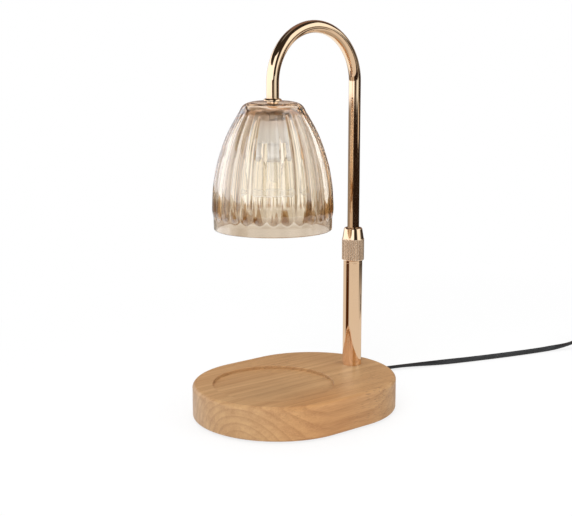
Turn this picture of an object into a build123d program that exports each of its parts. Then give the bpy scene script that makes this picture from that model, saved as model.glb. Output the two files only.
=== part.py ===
from build123d import *

import os
from math import cos, pi, radians, sin, tan

# Candle warmer lamp, millimetres, +Z up.
# Origin: on the table, under the middle of the oval base. +X runs from the candle recess to the post.

# ---- driving dimensions -------------------------------------------------------------------------
# base
BASE_LENGTH = 198.0
BASE_WIDTH = 156.0
BASE_THICKNESS = 30.5
BASE_TOP_ROUND = 4.0
BASE_BOTTOM_ROUND = 2.0
POST_FROM_END = 27.5
RECESS_FROM_END = 17.5
RECESS_DIAMETER = 110.0
RECESS_DEPTH = 3.0
RECESS_EDGE_ROUND = 0.8
FOOT_DIAMETER = 14.0
FOOT_THICKNESS = 2.5
FOOT_STANDS_OUT = 1.5
FOOT_FROM_END = 39.0
FOOT_FROM_SIDE = 28.0
CAVITY_FROM_END = 41.0
CAVITY_DIAMETER = 56.0
CAVITY_DEPTH = 16.0
COVER_DIAMETER = 68.0
COVER_THICKNESS = 1.6
COVER_SINK = 0.4
COVER_SCREW_CIRCLE_DIAMETER = 62.0
COVER_SCREWS = 3
SCREW_SHANK = 3.0
SCREW_HEAD = 5.6
COVER_SCREW_LENGTH = 9.0
SCREW_BITE = 0.4
DRIVER_SLOT = (3.0, 0.6, 1.4)
TERMINAL_SIZE = (9.0, 18.0, 9.0)
TERMINAL_FROM_WALL = 15.0
TERMINAL_POLES = 11.0
TERMINAL_ROWS = 4.4
TERMINAL_WELL = 2.8

# post
POST_DIAMETER = 18.0
POST_WALL = 1.0
POST_LENGTH = 100.0
STUD_DIAMETER = 10.0
STUD_BORE = 7.0
STUD_LENGTH = 21.5
FOOT_PLUG_HEIGHT = 7.0
WASHER_DIAMETER = 24.0
WASHER_THICKNESS = 1.5
STUD_NUT_FLATS = 14.0
STUD_NUT_HEIGHT = 5.0

# top of the post
FERRULE_SPIGOT = 13.0
FERRULE_FLANGE_HEIGHT = 2.0
FERRULE_THREAD_DIAMETER = 17.0
FERRULE_THREAD_LENGTH = 13.0
LINER_DIAMETER = 13.6
LINER_FLANGE_THICKNESS = 1.5
COLLET_HEIGHT = 9.0
COLLET_DIAMETER = 14.6
COLLET_SLIT = 1.2
NUT_DIAMETER = 21.0
NUT_KNURL_LENGTH = 20.5
NUT_NOSE_LENGTH = 10.5
NUT_NOSE_DIAMETER = 16.4
KNURLS = 60
KNURL_DEPTH = 0.35
KNURL_LAND = 1.6

# crook
CROOK_DIAMETER = 11.2
CROOK_WALL = 0.9
CROOK_BOTTOM_Z = 92.0
BEND_Z = 301.5
CROOK_END_SINK = 0.3
GUIDE_HEIGHT = 10.0
GUIDE_Z = 96.0
CLIP_THICKNESS = 1.0
CLIP_DIAMETER = 14.4
CLIP_GAP = 3.0
GROMMET_LIP = 2.0
GROMMET_LENGTH = 6.0
LEAD_DIAMETER = 4.8
LEAD_OUT = 2.0
HEIGHT_TRAVEL = 50.0

# shade: rim down, domed crown up with a well for the neck ring
SHADE_RIM_Z = 173.4
SHADE_HEIGHT = 111.4
SHADE_RADIUS = 53.5
SHADE_TOP_RADIUS = 21.5
SHADE_TOP_THICKNESS = 3.4
SHOULDER_BULGE = 1.2
CROWN_RISE = 1.8
WELL_DIAMETER = 18.4
WELL_FLOOR_THICKNESS = 1.8
SHADE_WALL = 2.4
SHADE_RIM_ROUND = 1.0
SHADE_HOLE = 10.6
FLUTES = 28
FLUTE_DEPTH = 1.4
# each station: share of the height, share of the radius at the flute crests, share of the flute depth
STATIONS = (
    (0.100, 0.983, 0.0),
    (0.145, 0.992, 0.6),
    (0.220, 1.000, 1.0),
    (0.345, 0.983, 1.0),
    (0.470, 0.940, 1.0),
    (0.595, 0.872, 0.9),
    (0.715, 0.785, 0.8),
    (0.815, 0.686, 0.65),
    (0.885, 0.602, 0.45),
    (0.922, 0.550, 0.0),
)

# neck and lamp holder
NECK_RING_DIAMETER = 16.3
NECK_RING_HEIGHT = 3.2
NIPPLE_DIAMETER = 10.0
NIPPLE_BORE = 6.4
NIPPLE_LENGTH = 25.0
NIPPLE_IN_TUBE = 8.0
GASKET_THICKNESS = 0.5
GASKET_DIAMETER = 20.0
BRACKET_WIDTH = 14.0
BRACKET_SPAN = 27.0
BRACKET_PLATE = 1.2
BRACKET_DROP = 12.0
BRACKET_LUG = 7.5
LOCK_NUT_HEIGHT = 4.3
HOLDER_DIAMETER = 27.0
HOLDER_HEIGHT = 19.5
HOLDER_SCREW_SPACING = 17.0
HOLDER_SCREW = 3.0
HOLDER_SCREW_SINK = 5.0
CONTACT_SIZE = 3.6
CONTACT_THICKNESS = 0.7
PIN_SPACING = 10.0
PIN_SHANK = 3.0
PIN_HEAD = 5.0
PIN_SHANK_LENGTH = 4.2
PIN_HEAD_LENGTH = 2.0
TWIST_ANGLE = 25.0

# bulb
BULB_DIAMETER = 50.0
BULB_BASE_LENGTH = 16.0
BULB_BASE_DIAMETER = 21.0
BULB_BODY_LENGTH = 46.0
BULB_GLASS = 1.2
BULB_LENS = 3.0
CAPSULE_DIAMETER = 9.0
CAPSULE_LENGTH = 18.0

# cord and what is on it; places on the table are measured from the strain relief's outer end
CORD_WIDTH = 5.6
CORD_LENGTH = 1800.0
EXIT_ANGLE = 20.0
EXIT_Z = 10.5
RUN_BENDS = ((36.9, 8.7), (63.9, 1.1), (104.9, -17.0), (148.9, -32.0), (196.9, -46.0), (238.9, -56.7))
LEAD_BENDS = (
    (388.9, -103.0), (395.4, -120.5), (392.4, -140.5), (380.9, -157.0), (362.9, -169.0), (343.4, -177.1),
)
RUN_DROP = (17.0, 8.6)
RUN_RISE = (268.9, -65.1, 6.0)
LEAD_DROP = (374.9, -91.7, 6.5)
TAIL_START = (326.9, -178.1)
TAIL_STRAIGHT = 17.0
RELIEF_LENGTH = 20.0
RELIEF_DIAMETER = 10.0
RELIEF_TIP = 7.4
RELIEF_SEAT = 14.0
RELIEF_LIP = 1.2
RELIEF_FLANGE_THICKNESS = 2.0
DIMMER_LENGTH = 62.0
DIMMER_WIDTH = 27.0
DIMMER_HEIGHT = 18.0
DIMMER_WALL = 1.6
DIMMER_ROUND = 2.5
DIMMER_AT = (319.4, -77.5)
DIMMER_TURN = -14.0
WHEEL_DIAMETER = 29.0
WHEEL_THICKNESS = 4.4
WHEEL_NOTCHES = 36
SPINDLE_DIAMETER = 4.0
PILLAR_DIAMETER = 5.2
PILLAR_FROM_END = 6.5
PILLAR_Y = 7.5
PILLAR_SCREW = 2.2
PILLAR_HEAD = 4.4
PILLAR_SINK = 3.0
BOARD_SIZE = (38.0, 17.0, 1.6)
REGULATOR_SIZE = 12.0
DIMMER_RELIEF_DIAMETER = 8.8
DIMMER_RELIEF_LENGTH = 12.0
COIL_AT = (332.9, -142.5)
COIL_INNER = 48.0
COIL_OUTER = 77.0
COIL_HEIGHT = 11.6
COIL_ROUND = 2.2
TIE_THICKNESS = 0.4
TIE_WIDTH = 5.0
PLUG_BODY = (27.0, 24.0, 14.0)
PLUG_ROUND = 3.0
PLUG_STRAIGHT = 0.45
PLUG_TAPER = 12.0
PLUG_RELIEF_DIAMETER = 9.2
PLUG_RELIEF_LENGTH = 16.0
PLUG_AT = (252.9, -179.5)
BLADE_LENGTH = 16.0
BLADE_WIDTH = 6.4
BLADE_THICKNESS = 1.5
BLADE_SPACING = 12.7
BLADE_HOLE = 3.2
BLADE_HOLE_FROM_TIP = 4.0

# clearances
GLUED = 0.05
RUNNING = 0.05
LOOSE = 0.3

# ---- levels and radii that follow ----------------------------------------------------------------
WOOD_BOTTOM = FOOT_STANDS_OUT
WOOD_TOP = FOOT_STANDS_OUT + BASE_THICKNESS
RECESS_FLOOR = WOOD_TOP - RECESS_DEPTH
END_RADIUS = BASE_WIDTH / 2
END_X = BASE_LENGTH / 2 - END_RADIUS
POST_X = BASE_LENGTH / 2 - POST_FROM_END
SHADE_X = RECESS_FROM_END + RECESS_DIAMETER / 2 - BASE_LENGTH / 2
FOOT_X = BASE_LENGTH / 2 - FOOT_FROM_END
FOOT_Y = BASE_WIDTH / 2 - FOOT_FROM_SIDE
CAVITY_X = BASE_LENGTH / 2 - CAVITY_FROM_END
COVER_TOP = WOOD_BOTTOM + COVER_SINK + COVER_THICKNESS
CAVITY_TOP = COVER_TOP + CAVITY_DEPTH
POST_R = POST_DIAMETER / 2
POST_BORE = POST_R - POST_WALL
POST_TOP = WOOD_TOP + POST_LENGTH
NUT_Z = POST_TOP + FERRULE_FLANGE_HEIGHT + LOOSE
FERRULE_TOP = POST_TOP + FERRULE_FLANGE_HEIGHT + FERRULE_THREAD_LENGTH
CROOK_R = CROOK_DIAMETER / 2
CROOK_BORE = CROOK_R - CROOK_WALL
BEND_R = (POST_X - SHADE_X) / 2
SHADE_TOP_Z = SHADE_RIM_Z + SHADE_HEIGHT
GLASS_UNDER = SHADE_TOP_Z - SHADE_TOP_THICKNESS
BRACKET_TOP = GLASS_UNDER - GASKET_THICKNESS
WELL_FLOOR = GLASS_UNDER + WELL_FLOOR_THICKNESS
NECK_RING_Z = WELL_FLOOR + GASKET_THICKNESS
CROOK_END_Z = NECK_RING_Z + NECK_RING_HEIGHT - CROOK_END_SINK
HOLDER_TOP = BRACKET_TOP - BRACKET_DROP
HOLDER_BOTTOM = HOLDER_TOP - HOLDER_HEIGHT
BULB_TOP = HOLDER_BOTTOM - LOOSE
BULB_BOTTOM = BULB_TOP - BULB_BODY_LENGTH
CORD_R = CORD_WIDTH / 2
CORD_Z = CORD_R + 0.1
DIMMER_MIDDLE = DIMMER_HEIGHT / 2
PILLAR_X = DIMMER_LENGTH / 2 - PILLAR_FROM_END


# ---- helpers --------------------------------------------------------------------------------------
def write(name, *solids):
    """Write one node: one solid, or a group of separate solids."""
    shape = solids[0] if len(solids) == 1 else Compound(children=list(solids))
    export_step(shape, f"parts/{name}.step")


def turned(profile, at=(0.0, 0.0)):
    """Solid of revolution about a vertical axis through at, from (radius, z) points."""
    outline = make_face(Polyline(*profile, close=True))
    return Pos(at[0], at[1], 0) * revolve(Plane.XZ * outline, Axis.Z)


def ring(outer, inner, low, high, at=(0.0, 0.0)):
    """Plain ring between two levels, from its two radii."""
    section = Circle(outer) - Circle(inner)
    return Pos(at[0], at[1], low) * extrude(section, high - low)


def rod(radius, low, high, at=(0.0, 0.0)):
    """Plain round rod between two levels."""
    return Pos(at[0], at[1], low) * extrude(Circle(radius), high - low)


def hex_nut(flats, bore, low, high, at=(0.0, 0.0)):
    """Chamfered hexagon nut with a plain bore."""
    corner = flats / 2 / cos(radians(30))
    body = Pos(at[0], at[1], low) * extrude(RegularPolygon(corner, 6) - Circle(bore), high - low)
    lift = (corner - flats / 2) * tan(radians(30))
    face = flats / 2
    cap = [(0, low), (face, low), (corner, low + lift), (corner, high - lift), (face, high), (0, high)]
    return body & turned(cap, at)


def polar(radius, angle, centre=(0.0, 0.0)):
    """Point at a radius and an angle in degrees."""
    return (centre[0] + radius * cos(radians(angle)), centre[1] + radius * sin(radians(angle)))


def corner_radii(points):
    """For each inner corner, 0.45 of its shorter run over the tangent of half its turn."""
    radii = []
    for before, here, after in zip(points, points[1:], points[2:]):
        run_in = Vector(*here) - Vector(*before)
        run_out = Vector(*after) - Vector(*here)
        turn = run_in.get_angle(run_out)
        radii.append(0.45 * min(run_in.length, run_out.length) / tan(radians(turn) / 2))
    return radii


def cord_tube(name, points, radius, radii=None):
    """Round tube along straight runs joined by tangent arcs; returns the solid and its length."""
    radii = radii or corner_radii(points)
    path = FilletPolyline(*points, radius=radii)
    tube = sweep(Plane(path @ 0, z_dir=path % 0) * Circle(radius), path=path)
    share = tube.volume / (pi * radius**2 * path.length)
    print(name, "length", round(path.length, 1), "volume share", round(share, 4))
    print(name, "radii", [round(r, 1) for r in radii])
    return tube, path.length


# ---- base -----------------------------------------------------------------------------------------
def screw_places():
    """Centres of the bottom cover's screws."""
    turns = [90 + 360 * i / COVER_SCREWS for i in range(COVER_SCREWS)]
    return [polar(COVER_SCREW_CIRCLE_DIAMETER / 2, turn, (CAVITY_X, 0)) for turn in turns]


def foot_places():
    """Centres of the four feet."""
    return [(x, y) for x in (-FOOT_X, FOOT_X) for y in (-FOOT_Y, FOOT_Y)]


def exit_place(along):
    """Plane that looks out along the cord exit, at a distance from the centre of the rounded end."""
    at = polar(along, EXIT_ANGLE, (END_X, 0))
    out = polar(1.0, EXIT_ANGLE)
    across = polar(1.0, EXIT_ANGLE + 90)
    return Plane((*at, EXIT_Z), x_dir=(*across, 0), z_dir=(*out, 0))


def on_table(offset):
    """Point on the table measured from the strain relief's outer end."""
    start = polar(END_RADIUS + RELIEF_LENGTH, EXIT_ANGLE, (END_X, 0))
    return (start[0] + offset[0], start[1] + offset[1])


def wood_base():
    """Oval block with rounded edges, candle recess on top and wiring cavity underneath."""
    block = Pos(0, 0, WOOD_BOTTOM) * extrude(SlotOverall(BASE_LENGTH, BASE_WIDTH), BASE_THICKNESS)
    block = fillet(block.edges().group_by(Axis.Z)[-1], BASE_TOP_ROUND)
    block = fillet(block.edges().group_by(Axis.Z)[0], BASE_BOTTOM_ROUND)
    recess = rod(RECESS_DIAMETER / 2, RECESS_FLOOR, WOOD_TOP + 1, (SHADE_X, 0))
    block -= recess
    rim = block.edges().filter_by(GeomType.CIRCLE).group_by(Axis.Z)[-1]
    block = fillet(rim.filter_by(lambda e: abs(e.radius - RECESS_DIAMETER / 2) < 0.01), RECESS_EDGE_ROUND)
    block -= rod(COVER_DIAMETER / 2 + LOOSE, WOOD_BOTTOM - 1, COVER_TOP, (CAVITY_X, 0))
    block -= rod(CAVITY_DIAMETER / 2, COVER_TOP - 1, CAVITY_TOP, (CAVITY_X, 0))
    block -= rod(STUD_DIAMETER / 2 + LOOSE, CAVITY_TOP - 1, WOOD_TOP + 1, (POST_X, 0))
    for x, y in foot_places():
        block -= rod(FOOT_DIAMETER / 2 + GLUED, WOOD_BOTTOM - 1, FOOT_THICKNESS, (x, y))
    for x, y in screw_places():
        block -= rod(SCREW_SHANK / 2 - SCREW_BITE, COVER_TOP - 1, COVER_TOP + COVER_SCREW_LENGTH, (x, y))
    seat = END_RADIUS - RELIEF_SEAT
    block -= extrude(exit_place(seat - 1) * Circle(RELIEF_DIAMETER / 2 + GLUED), RELIEF_SEAT + BASE_TOP_ROUND)
    block -= extrude(exit_place(seat) * Circle(RELIEF_DIAMETER / 2 + RELIEF_LIP + LOOSE), -RELIEF_SEAT)
    return block


def bottom_cover():
    """Round plate that closes the wiring cavity, with countersunk screw holes."""
    low = COVER_TOP - COVER_THICKNESS
    plate = rod(COVER_DIAMETER / 2, low, COVER_TOP, (CAVITY_X, 0))
    for at in screw_places():
        plate -= turned(countersink(low, SCREW_HEAD / 2 + 0.1, SCREW_SHANK / 2 + 0.1, COVER_TOP + 1), at)
    return plate


def countersink(low, head, shank, high):
    """Profile of a countersunk screw or its seat, head down."""
    return [(0, low), (head, low), (shank, low + head - shank), (shank, high), (0, high)]


def cover_screw(at):
    """Countersunk screw through the bottom cover, with a cross slot."""
    low = COVER_TOP - COVER_THICKNESS
    shank = SCREW_SHANK / 2
    pilot = shank - SCREW_BITE - GLUED
    neck = COVER_TOP - GLUED
    tip = COVER_TOP + COVER_SCREW_LENGTH - 1
    profile = [(0, low), (SCREW_HEAD / 2, low), (shank, low + SCREW_HEAD / 2 - shank), (shank, neck),
               (pilot, neck), (pilot, tip), (0, tip + 0.5)]
    return turned(profile, at) - cross_slot(at, low)


def cross_slot(at, level):
    """Crossed cutters for a screw head's driver slot."""
    return [Pos(*at, level) * Rot(0, 0, angle) * Box(*DRIVER_SLOT) for angle in (0, 90)]


def terminal_block():
    """Two-pole block beside the stud nut, with four screw wells open below; and its screws."""
    x, z = terminal_place()
    low = z - TERMINAL_SIZE[2] / 2
    block = Pos(x, 0, z) * Box(*TERMINAL_SIZE)
    screws = []
    for at in [(x + i * TERMINAL_ROWS / 2, j * TERMINAL_POLES / 2) for i in (-1, 1) for j in (-1, 1)]:
        block -= rod(TERMINAL_WELL / 2, low - 1, z, at)
        screws.append(rod(TERMINAL_WELL / 2 - GLUED, low + 1.0, z - GLUED, at))
    return block, screws


def terminal_place():
    """X and Z of the terminal block's middle."""
    return CAVITY_X - CAVITY_DIAMETER / 2 + TERMINAL_FROM_WALL, CAVITY_TOP - TERMINAL_SIZE[2] / 2


def base_lead():
    """Cord inside the cavity, from the strain relief to the terminal block."""
    x, z = terminal_place()
    face = TERMINAL_SIZE[1] / 2
    start = polar(END_RADIUS - RELIEF_SEAT - RELIEF_FLANGE_THICKNESS - GLUED, EXIT_ANGLE, (END_X, 0))
    points = [(*start, EXIT_Z), (CAVITY_X + 8.0, face + 9.6, EXIT_Z),
              (CAVITY_X - 6.0, face + 10.5, EXIT_Z + 1.5), (x, face + 7.0, z), (x, face + GLUED, z)]
    return cord_tube("base lead", points, LEAD_DIAMETER / 2, [12.0, 8.0, 4.0])[0]


def post_lead():
    """Lead from the terminal block's other side, under the stud nut and up into the post."""
    x, z = terminal_place()
    face = -TERMINAL_SIZE[1] / 2
    low = COVER_TOP + LEAD_DIAMETER / 2 + LOOSE
    end = CROOK_BOTTOM_Z - GROMMET_LIP - LEAD_OUT - HEIGHT_TRAVEL - 1.0
    points = [(x, face - GLUED, z), (x, face - 5.5, z), (CAVITY_X - 2.0, face - 4.0, low), (POST_X, 0, low),
              (POST_X, 0, end)]
    return cord_tube("post lead", points, LEAD_DIAMETER / 2, [4.0, 5.0, 4.5])[0]


# ---- post -----------------------------------------------------------------------------------------
def post_foot():
    """Turned plug in the tube's lower end with a hollow threaded stud through the wood."""
    stud = STUD_DIAMETER / 2
    plug = POST_BORE - GLUED
    low = WOOD_TOP - STUD_LENGTH
    return turned(
        [(STUD_BORE / 2, low), (stud - 0.6, low), (stud, low + 0.6), (stud, WOOD_TOP), (plug, WOOD_TOP),
         (plug, WOOD_TOP + FOOT_PLUG_HEIGHT), (STUD_BORE / 2, WOOD_TOP + FOOT_PLUG_HEIGHT)],
        (POST_X, 0),
    )


def post_ferrule():
    """Ferrule in the tube's upper end: spigot, flange and the thread that the clamp nut runs on."""
    thread = FERRULE_THREAD_DIAMETER / 2
    bore = LINER_DIAMETER / 2 + GLUED
    return turned(
        [(bore, POST_TOP - FERRULE_SPIGOT), (POST_BORE - GLUED, POST_TOP - FERRULE_SPIGOT),
         (POST_BORE - GLUED, POST_TOP), (POST_R, POST_TOP), (POST_R, POST_TOP + FERRULE_FLANGE_HEIGHT),
         (thread - 0.5, POST_TOP + FERRULE_FLANGE_HEIGHT), (thread, POST_TOP + FERRULE_FLANGE_HEIGHT + 1.0),
         (thread, FERRULE_TOP - 0.8), (thread - 0.8, FERRULE_TOP), (bore, FERRULE_TOP)],
        (POST_X, 0),
    )


def post_liner():
    """Nylon sleeve inside the ferrule that guides the crook tube; its flange sits under the spigot."""
    bore = CROOK_R + RUNNING
    flange_top = POST_TOP - FERRULE_SPIGOT
    flange_low = flange_top - LINER_FLANGE_THICKNESS
    return turned(
        [(bore, flange_low), (POST_BORE - LOOSE, flange_low),
         (POST_BORE - LOOSE, flange_top), (LINER_DIAMETER / 2, flange_top), (LINER_DIAMETER / 2, FERRULE_TOP),
         (bore, FERRULE_TOP)],
        (POST_X, 0),
    )


def clamp_collet():
    """Split compression ring that the nut's inner cone squeezes onto the crook tube."""
    bore = CROOK_R + RUNNING
    outer = COLLET_DIAMETER / 2
    top = FERRULE_TOP + COLLET_HEIGHT
    body = turned(
        [(bore, FERRULE_TOP), (outer, FERRULE_TOP), (outer, FERRULE_TOP + COLLET_HEIGHT * 0.45),
         (bore + 0.6, top), (bore, top)],
        (POST_X, 0),
    )
    slit = Box(outer, COLLET_SLIT, COLLET_HEIGHT + 1)
    return body - Pos(POST_X + outer / 2, 0, FERRULE_TOP + COLLET_HEIGHT / 2) * slit


def clamp_nut():
    """Knurled nut with a polished conical nose; a cone inside presses on the collet."""
    knurl = NUT_DIAMETER / 2
    nose = NUT_NOSE_DIAMETER / 2
    knurl_top = NUT_Z + NUT_KNURL_LENGTH
    top = knurl_top + NUT_NOSE_LENGTH
    thread = FERRULE_THREAD_DIAMETER / 2 + 0.15
    seat = COLLET_DIAMETER / 2 + 0.35
    exit_bore = CROOK_R + 0.15
    cone_low = FERRULE_TOP + COLLET_HEIGHT * 0.45 + 0.3
    cone_high = FERRULE_TOP + COLLET_HEIGHT + 0.3
    body = turned(
        [(thread, NUT_Z), (knurl - 0.6, NUT_Z), (knurl, NUT_Z + 0.6), (knurl, knurl_top - 0.4),
         (knurl - 0.4, knurl_top), (nose + 0.5, top - 1.2), (nose - 0.6, top), (exit_bore, top),
         (exit_bore, cone_high), (exit_bore + 0.75, cone_high), (seat, cone_low), (seat, FERRULE_TOP + 0.3),
         (thread, FERRULE_TOP + 0.3)],
    )
    groove = RegularPolygon(KNURL_DEPTH * 2, 3, rotation=180)
    cutter = extrude(groove, NUT_KNURL_LENGTH - 2 * KNURL_LAND)
    cutter = Pos(knurl + KNURL_DEPTH, 0, NUT_Z + KNURL_LAND) * cutter
    body -= [Rot(0, 0, 360 * i / KNURLS) * cutter for i in range(KNURLS)]
    return Pos(POST_X, 0, 0) * body


# ---- crook ----------------------------------------------------------------------------------------
def crook_path(low, high_end):
    """Up the post side, over in a half circle, down to the shade side."""
    up = Line((POST_X, 0, low), (POST_X, 0, BEND_Z))
    over = ThreePointArc((POST_X, 0, BEND_Z), (POST_X - BEND_R, 0, BEND_Z + BEND_R), (SHADE_X, 0, BEND_Z))
    down = Line((SHADE_X, 0, BEND_Z), (SHADE_X, 0, high_end))
    return Wire([up, over, down])


def crook_tube():
    """Bent tube."""
    path = crook_path(CROOK_BOTTOM_Z, CROOK_END_Z)
    start = Plane((POST_X, 0, CROOK_BOTTOM_Z), z_dir=(0, 0, 1))
    outer = sweep(start * Circle(CROOK_R), path=path)
    inner = sweep(start * Circle(CROOK_BORE), path=path)
    return outer - inner


def guide_clip(low):
    """Open retaining ring on the crook tube."""
    outer = CLIP_DIAMETER / 2
    clip = ring(outer, CROOK_R + GLUED, low, low + CLIP_THICKNESS, (POST_X, 0))
    return clip - Pos(POST_X + outer, 0, low) * Box(outer, CLIP_GAP, CLIP_THICKNESS * 3)


def crook_grommet():
    """Rubber edge bush in the tube's lower end."""
    lead = LEAD_DIAMETER / 2 + GLUED
    return turned(
        [(lead, CROOK_BOTTOM_Z - GROMMET_LIP), (CROOK_R - 0.4, CROOK_BOTTOM_Z - GROMMET_LIP),
         (CROOK_R - 0.2, CROOK_BOTTOM_Z), (CROOK_BORE - GLUED, CROOK_BOTTOM_Z),
         (CROOK_BORE - GLUED, CROOK_BOTTOM_Z + GROMMET_LENGTH), (lead, CROOK_BOTTOM_Z + GROMMET_LENGTH)],
        (POST_X, 0),
    )


def crook_lead():
    """Two-core lead through the crook to the lamp holder."""
    low = CROOK_BOTTOM_Z - GROMMET_LIP - LEAD_OUT
    path = crook_path(low, HOLDER_TOP - 2.0)
    return sweep(Plane((POST_X, 0, low), z_dir=(0, 0, 1)) * Circle(LEAD_DIAMETER / 2), path=path)


def neck_ring():
    """Rounded ring between the crook's end and the glass."""
    low = NECK_RING_Z
    high = low + NECK_RING_HEIGHT
    tube_seat = CROOK_R + GLUED
    thread = NIPPLE_DIAMETER / 2 + GLUED
    outer = NECK_RING_DIAMETER / 2
    section = make_face(Polyline(
        (thread, low), (outer, low), (outer, high), (tube_seat, high), (tube_seat, CROOK_END_Z - GLUED),
        (thread, CROOK_END_Z - GLUED), close=True))
    section = fillet(section.vertices().filter_by(lambda v: abs(v.X - outer) < 0.01), NECK_RING_HEIGHT * 0.4)
    return Pos(SHADE_X, 0, 0) * revolve(Plane.XZ * section, Axis.Z)


def crook_nipple():
    """Hollow threaded nipple: upper part fixed in the tube, lower part through the glass and the bracket."""
    thread = NIPPLE_DIAMETER / 2
    top = CROOK_END_Z + NIPPLE_IN_TUBE
    low = top - NIPPLE_LENGTH
    return turned(
        [(NIPPLE_BORE / 2, low), (thread - 0.5, low), (thread, low + 0.5), (thread, CROOK_END_Z - GLUED * 2),
         (CROOK_BORE - GLUED, CROOK_END_Z - GLUED * 2), (CROOK_BORE - GLUED, top), (NIPPLE_BORE / 2, top)],
        (SHADE_X, 0),
    )


# ---- shade ----------------------------------------------------------------------------------------
def station(share):
    """Height, crest radius and flute depth of one station of the bell."""
    return (SHADE_RIM_Z + share[0] * SHADE_HEIGHT, share[1] * SHADE_RADIUS, share[2] * FLUTE_DEPTH)


def fluted_section(level, crest, depth):
    """Closed outline of convex arcs, one for each flute."""
    half = 180 / FLUTES
    arcs = []
    for i in range(FLUTES):
        middle = 2 * half * i
        arcs.append(ThreePointArc(polar(crest - depth, middle - half), polar(crest, middle),
                                  polar(crest - depth, middle + half)))
    return Pos(0, 0, level) * make_face(arcs)


def filled_under(curve):
    """Solid of revolution between the axis and a smooth curve through (radius, z) points, lowest first."""
    low, high = curve[0], curve[-1]
    closing = Polyline(high, (0, high[1]), (0, low[1]), low)
    return revolve(Plane.XZ * make_face([Spline(*curve), *closing.edges()]), Axis.Z)


def glass_shade():
    """Blown bell: plain rim band, convex flutes that fade out at both ends, domed crown with a well in it."""
    levels = [station(share) for share in STATIONS]
    fluted = loft([fluted_section(*level) for level in levels])
    first, last = levels[0], levels[-1]
    band = turned([(0, SHADE_RIM_Z), (first[1], SHADE_RIM_Z), (first[1], first[0]), (0, first[0])])
    bulge = ((last[1] + SHADE_TOP_RADIUS) / 2 + SHOULDER_BULGE, (last[0] + SHADE_TOP_Z) / 2 + 1.0)
    crown = (WELL_DIAMETER / 2, SHADE_TOP_Z + CROWN_RISE)
    shoulder = filled_under([(last[1], last[0]), bulge, (SHADE_TOP_RADIUS, SHADE_TOP_Z), crown])
    bell = fluted + band + shoulder
    below = (first[1] - SHADE_WALL, SHADE_RIM_Z - 1)
    inside = [(crest - depth - SHADE_WALL, level) for level, crest, depth in levels]
    bell -= filled_under([below, *inside, (SHADE_TOP_RADIUS - 1.5, GLASS_UNDER)])
    bell -= rod(SHADE_HOLE / 2, GLASS_UNDER - 1, SHADE_TOP_Z + 1)
    bell -= rod(WELL_DIAMETER / 2, WELL_FLOOR, SHADE_TOP_Z + 2 * CROWN_RISE)
    bell = fillet(bell.edges().group_by(Axis.Z)[0], SHADE_RIM_ROUND)
    return Pos(SHADE_X, 0, 0) * bell


# ---- lamp holder and bulb -------------------------------------------------------------------------
def holder_bracket():
    """Bent strap: top plate on the nipple, two legs and two inward lugs for the holder's screws."""
    outer = BRACKET_SPAN / 2
    low = HOLDER_TOP
    ledge = low + BRACKET_PLATE
    under = BRACKET_TOP - BRACKET_PLATE
    outline = Polyline(
        (-outer, BRACKET_TOP), (outer, BRACKET_TOP), (outer, low), (outer - BRACKET_LUG, low),
        (outer - BRACKET_LUG, ledge), (outer - BRACKET_PLATE, ledge), (outer - BRACKET_PLATE, under),
        (-outer + BRACKET_PLATE, under), (-outer + BRACKET_PLATE, ledge), (-outer + BRACKET_LUG, ledge),
        (-outer + BRACKET_LUG, low), (-outer, low), close=True)
    strap = extrude(Plane.XZ * make_face(outline), BRACKET_WIDTH / 2, both=True)
    strap -= rod(NIPPLE_DIAMETER / 2 + GLUED, BRACKET_TOP - 2, BRACKET_TOP + 1)
    for side in (-1, 1):
        strap -= rod(HOLDER_SCREW / 2 - 0.2, low - 1, ledge + 1, (side * HOLDER_SCREW_SPACING / 2, 0))
    return Pos(SHADE_X, 0, 0) * strap


def arc_slot(width, low, high, end):
    """Arc-shaped pocket on the pin circle, one twist long, that ends at an angle."""
    line = CenterArc((0, 0), PIN_SPACING / 2, end - TWIST_ANGLE, TWIST_ANGLE)
    return Pos(0, 0, low) * extrude(SlotArc(line, width), high - low)


def lamp_holder():
    """Ceramic twist-lock holder: two arc slots with a round entry each, and two stepped screw holes."""
    body = rod(HOLDER_DIAMETER / 2, HOLDER_BOTTOM, HOLDER_TOP)
    body = fillet(body.edges().group_by(Axis.Z)[0], 1.2)
    body = fillet(body.edges().group_by(Axis.Z)[-1], 0.8)
    ledge = BULB_TOP + PIN_SHANK_LENGTH - 0.25
    ceiling = ledge + PIN_HEAD_LENGTH + 2.2
    for side in (90, 270):
        body -= arc_slot(PIN_SHANK + 0.5, HOLDER_BOTTOM - 1, ledge + 0.1, side)
        body -= arc_slot(PIN_HEAD + 0.5, ledge, ceiling, side)
        entry = polar(PIN_SPACING / 2, side - TWIST_ANGLE)
        body -= rod(PIN_HEAD / 2 + 0.4, HOLDER_BOTTOM - 1, ceiling, entry)
    for side in (-1, 1):
        at = (side * HOLDER_SCREW_SPACING / 2, 0)
        body -= rod(HOLDER_SCREW / 2 + 0.2, HOLDER_BOTTOM - 1, HOLDER_TOP + 1, at)
        body -= rod(HOLDER_SCREW, HOLDER_BOTTOM - 1, HOLDER_BOTTOM + HOLDER_SCREW_SINK, at)
    body -= rod(LEAD_DIAMETER / 2 + 0.2, HOLDER_TOP - 3, HOLDER_TOP + 1)
    contacts = []
    plate = Box(CONTACT_SIZE, CONTACT_SIZE, CONTACT_THICKNESS)
    for side in (90, 270):
        at = polar(PIN_SPACING / 2, side, (SHADE_X, 0))
        contacts.append(Pos(*at, ceiling - CONTACT_THICKNESS / 2) * plate)
    return Pos(SHADE_X, 0, 0) * body, contacts


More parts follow.
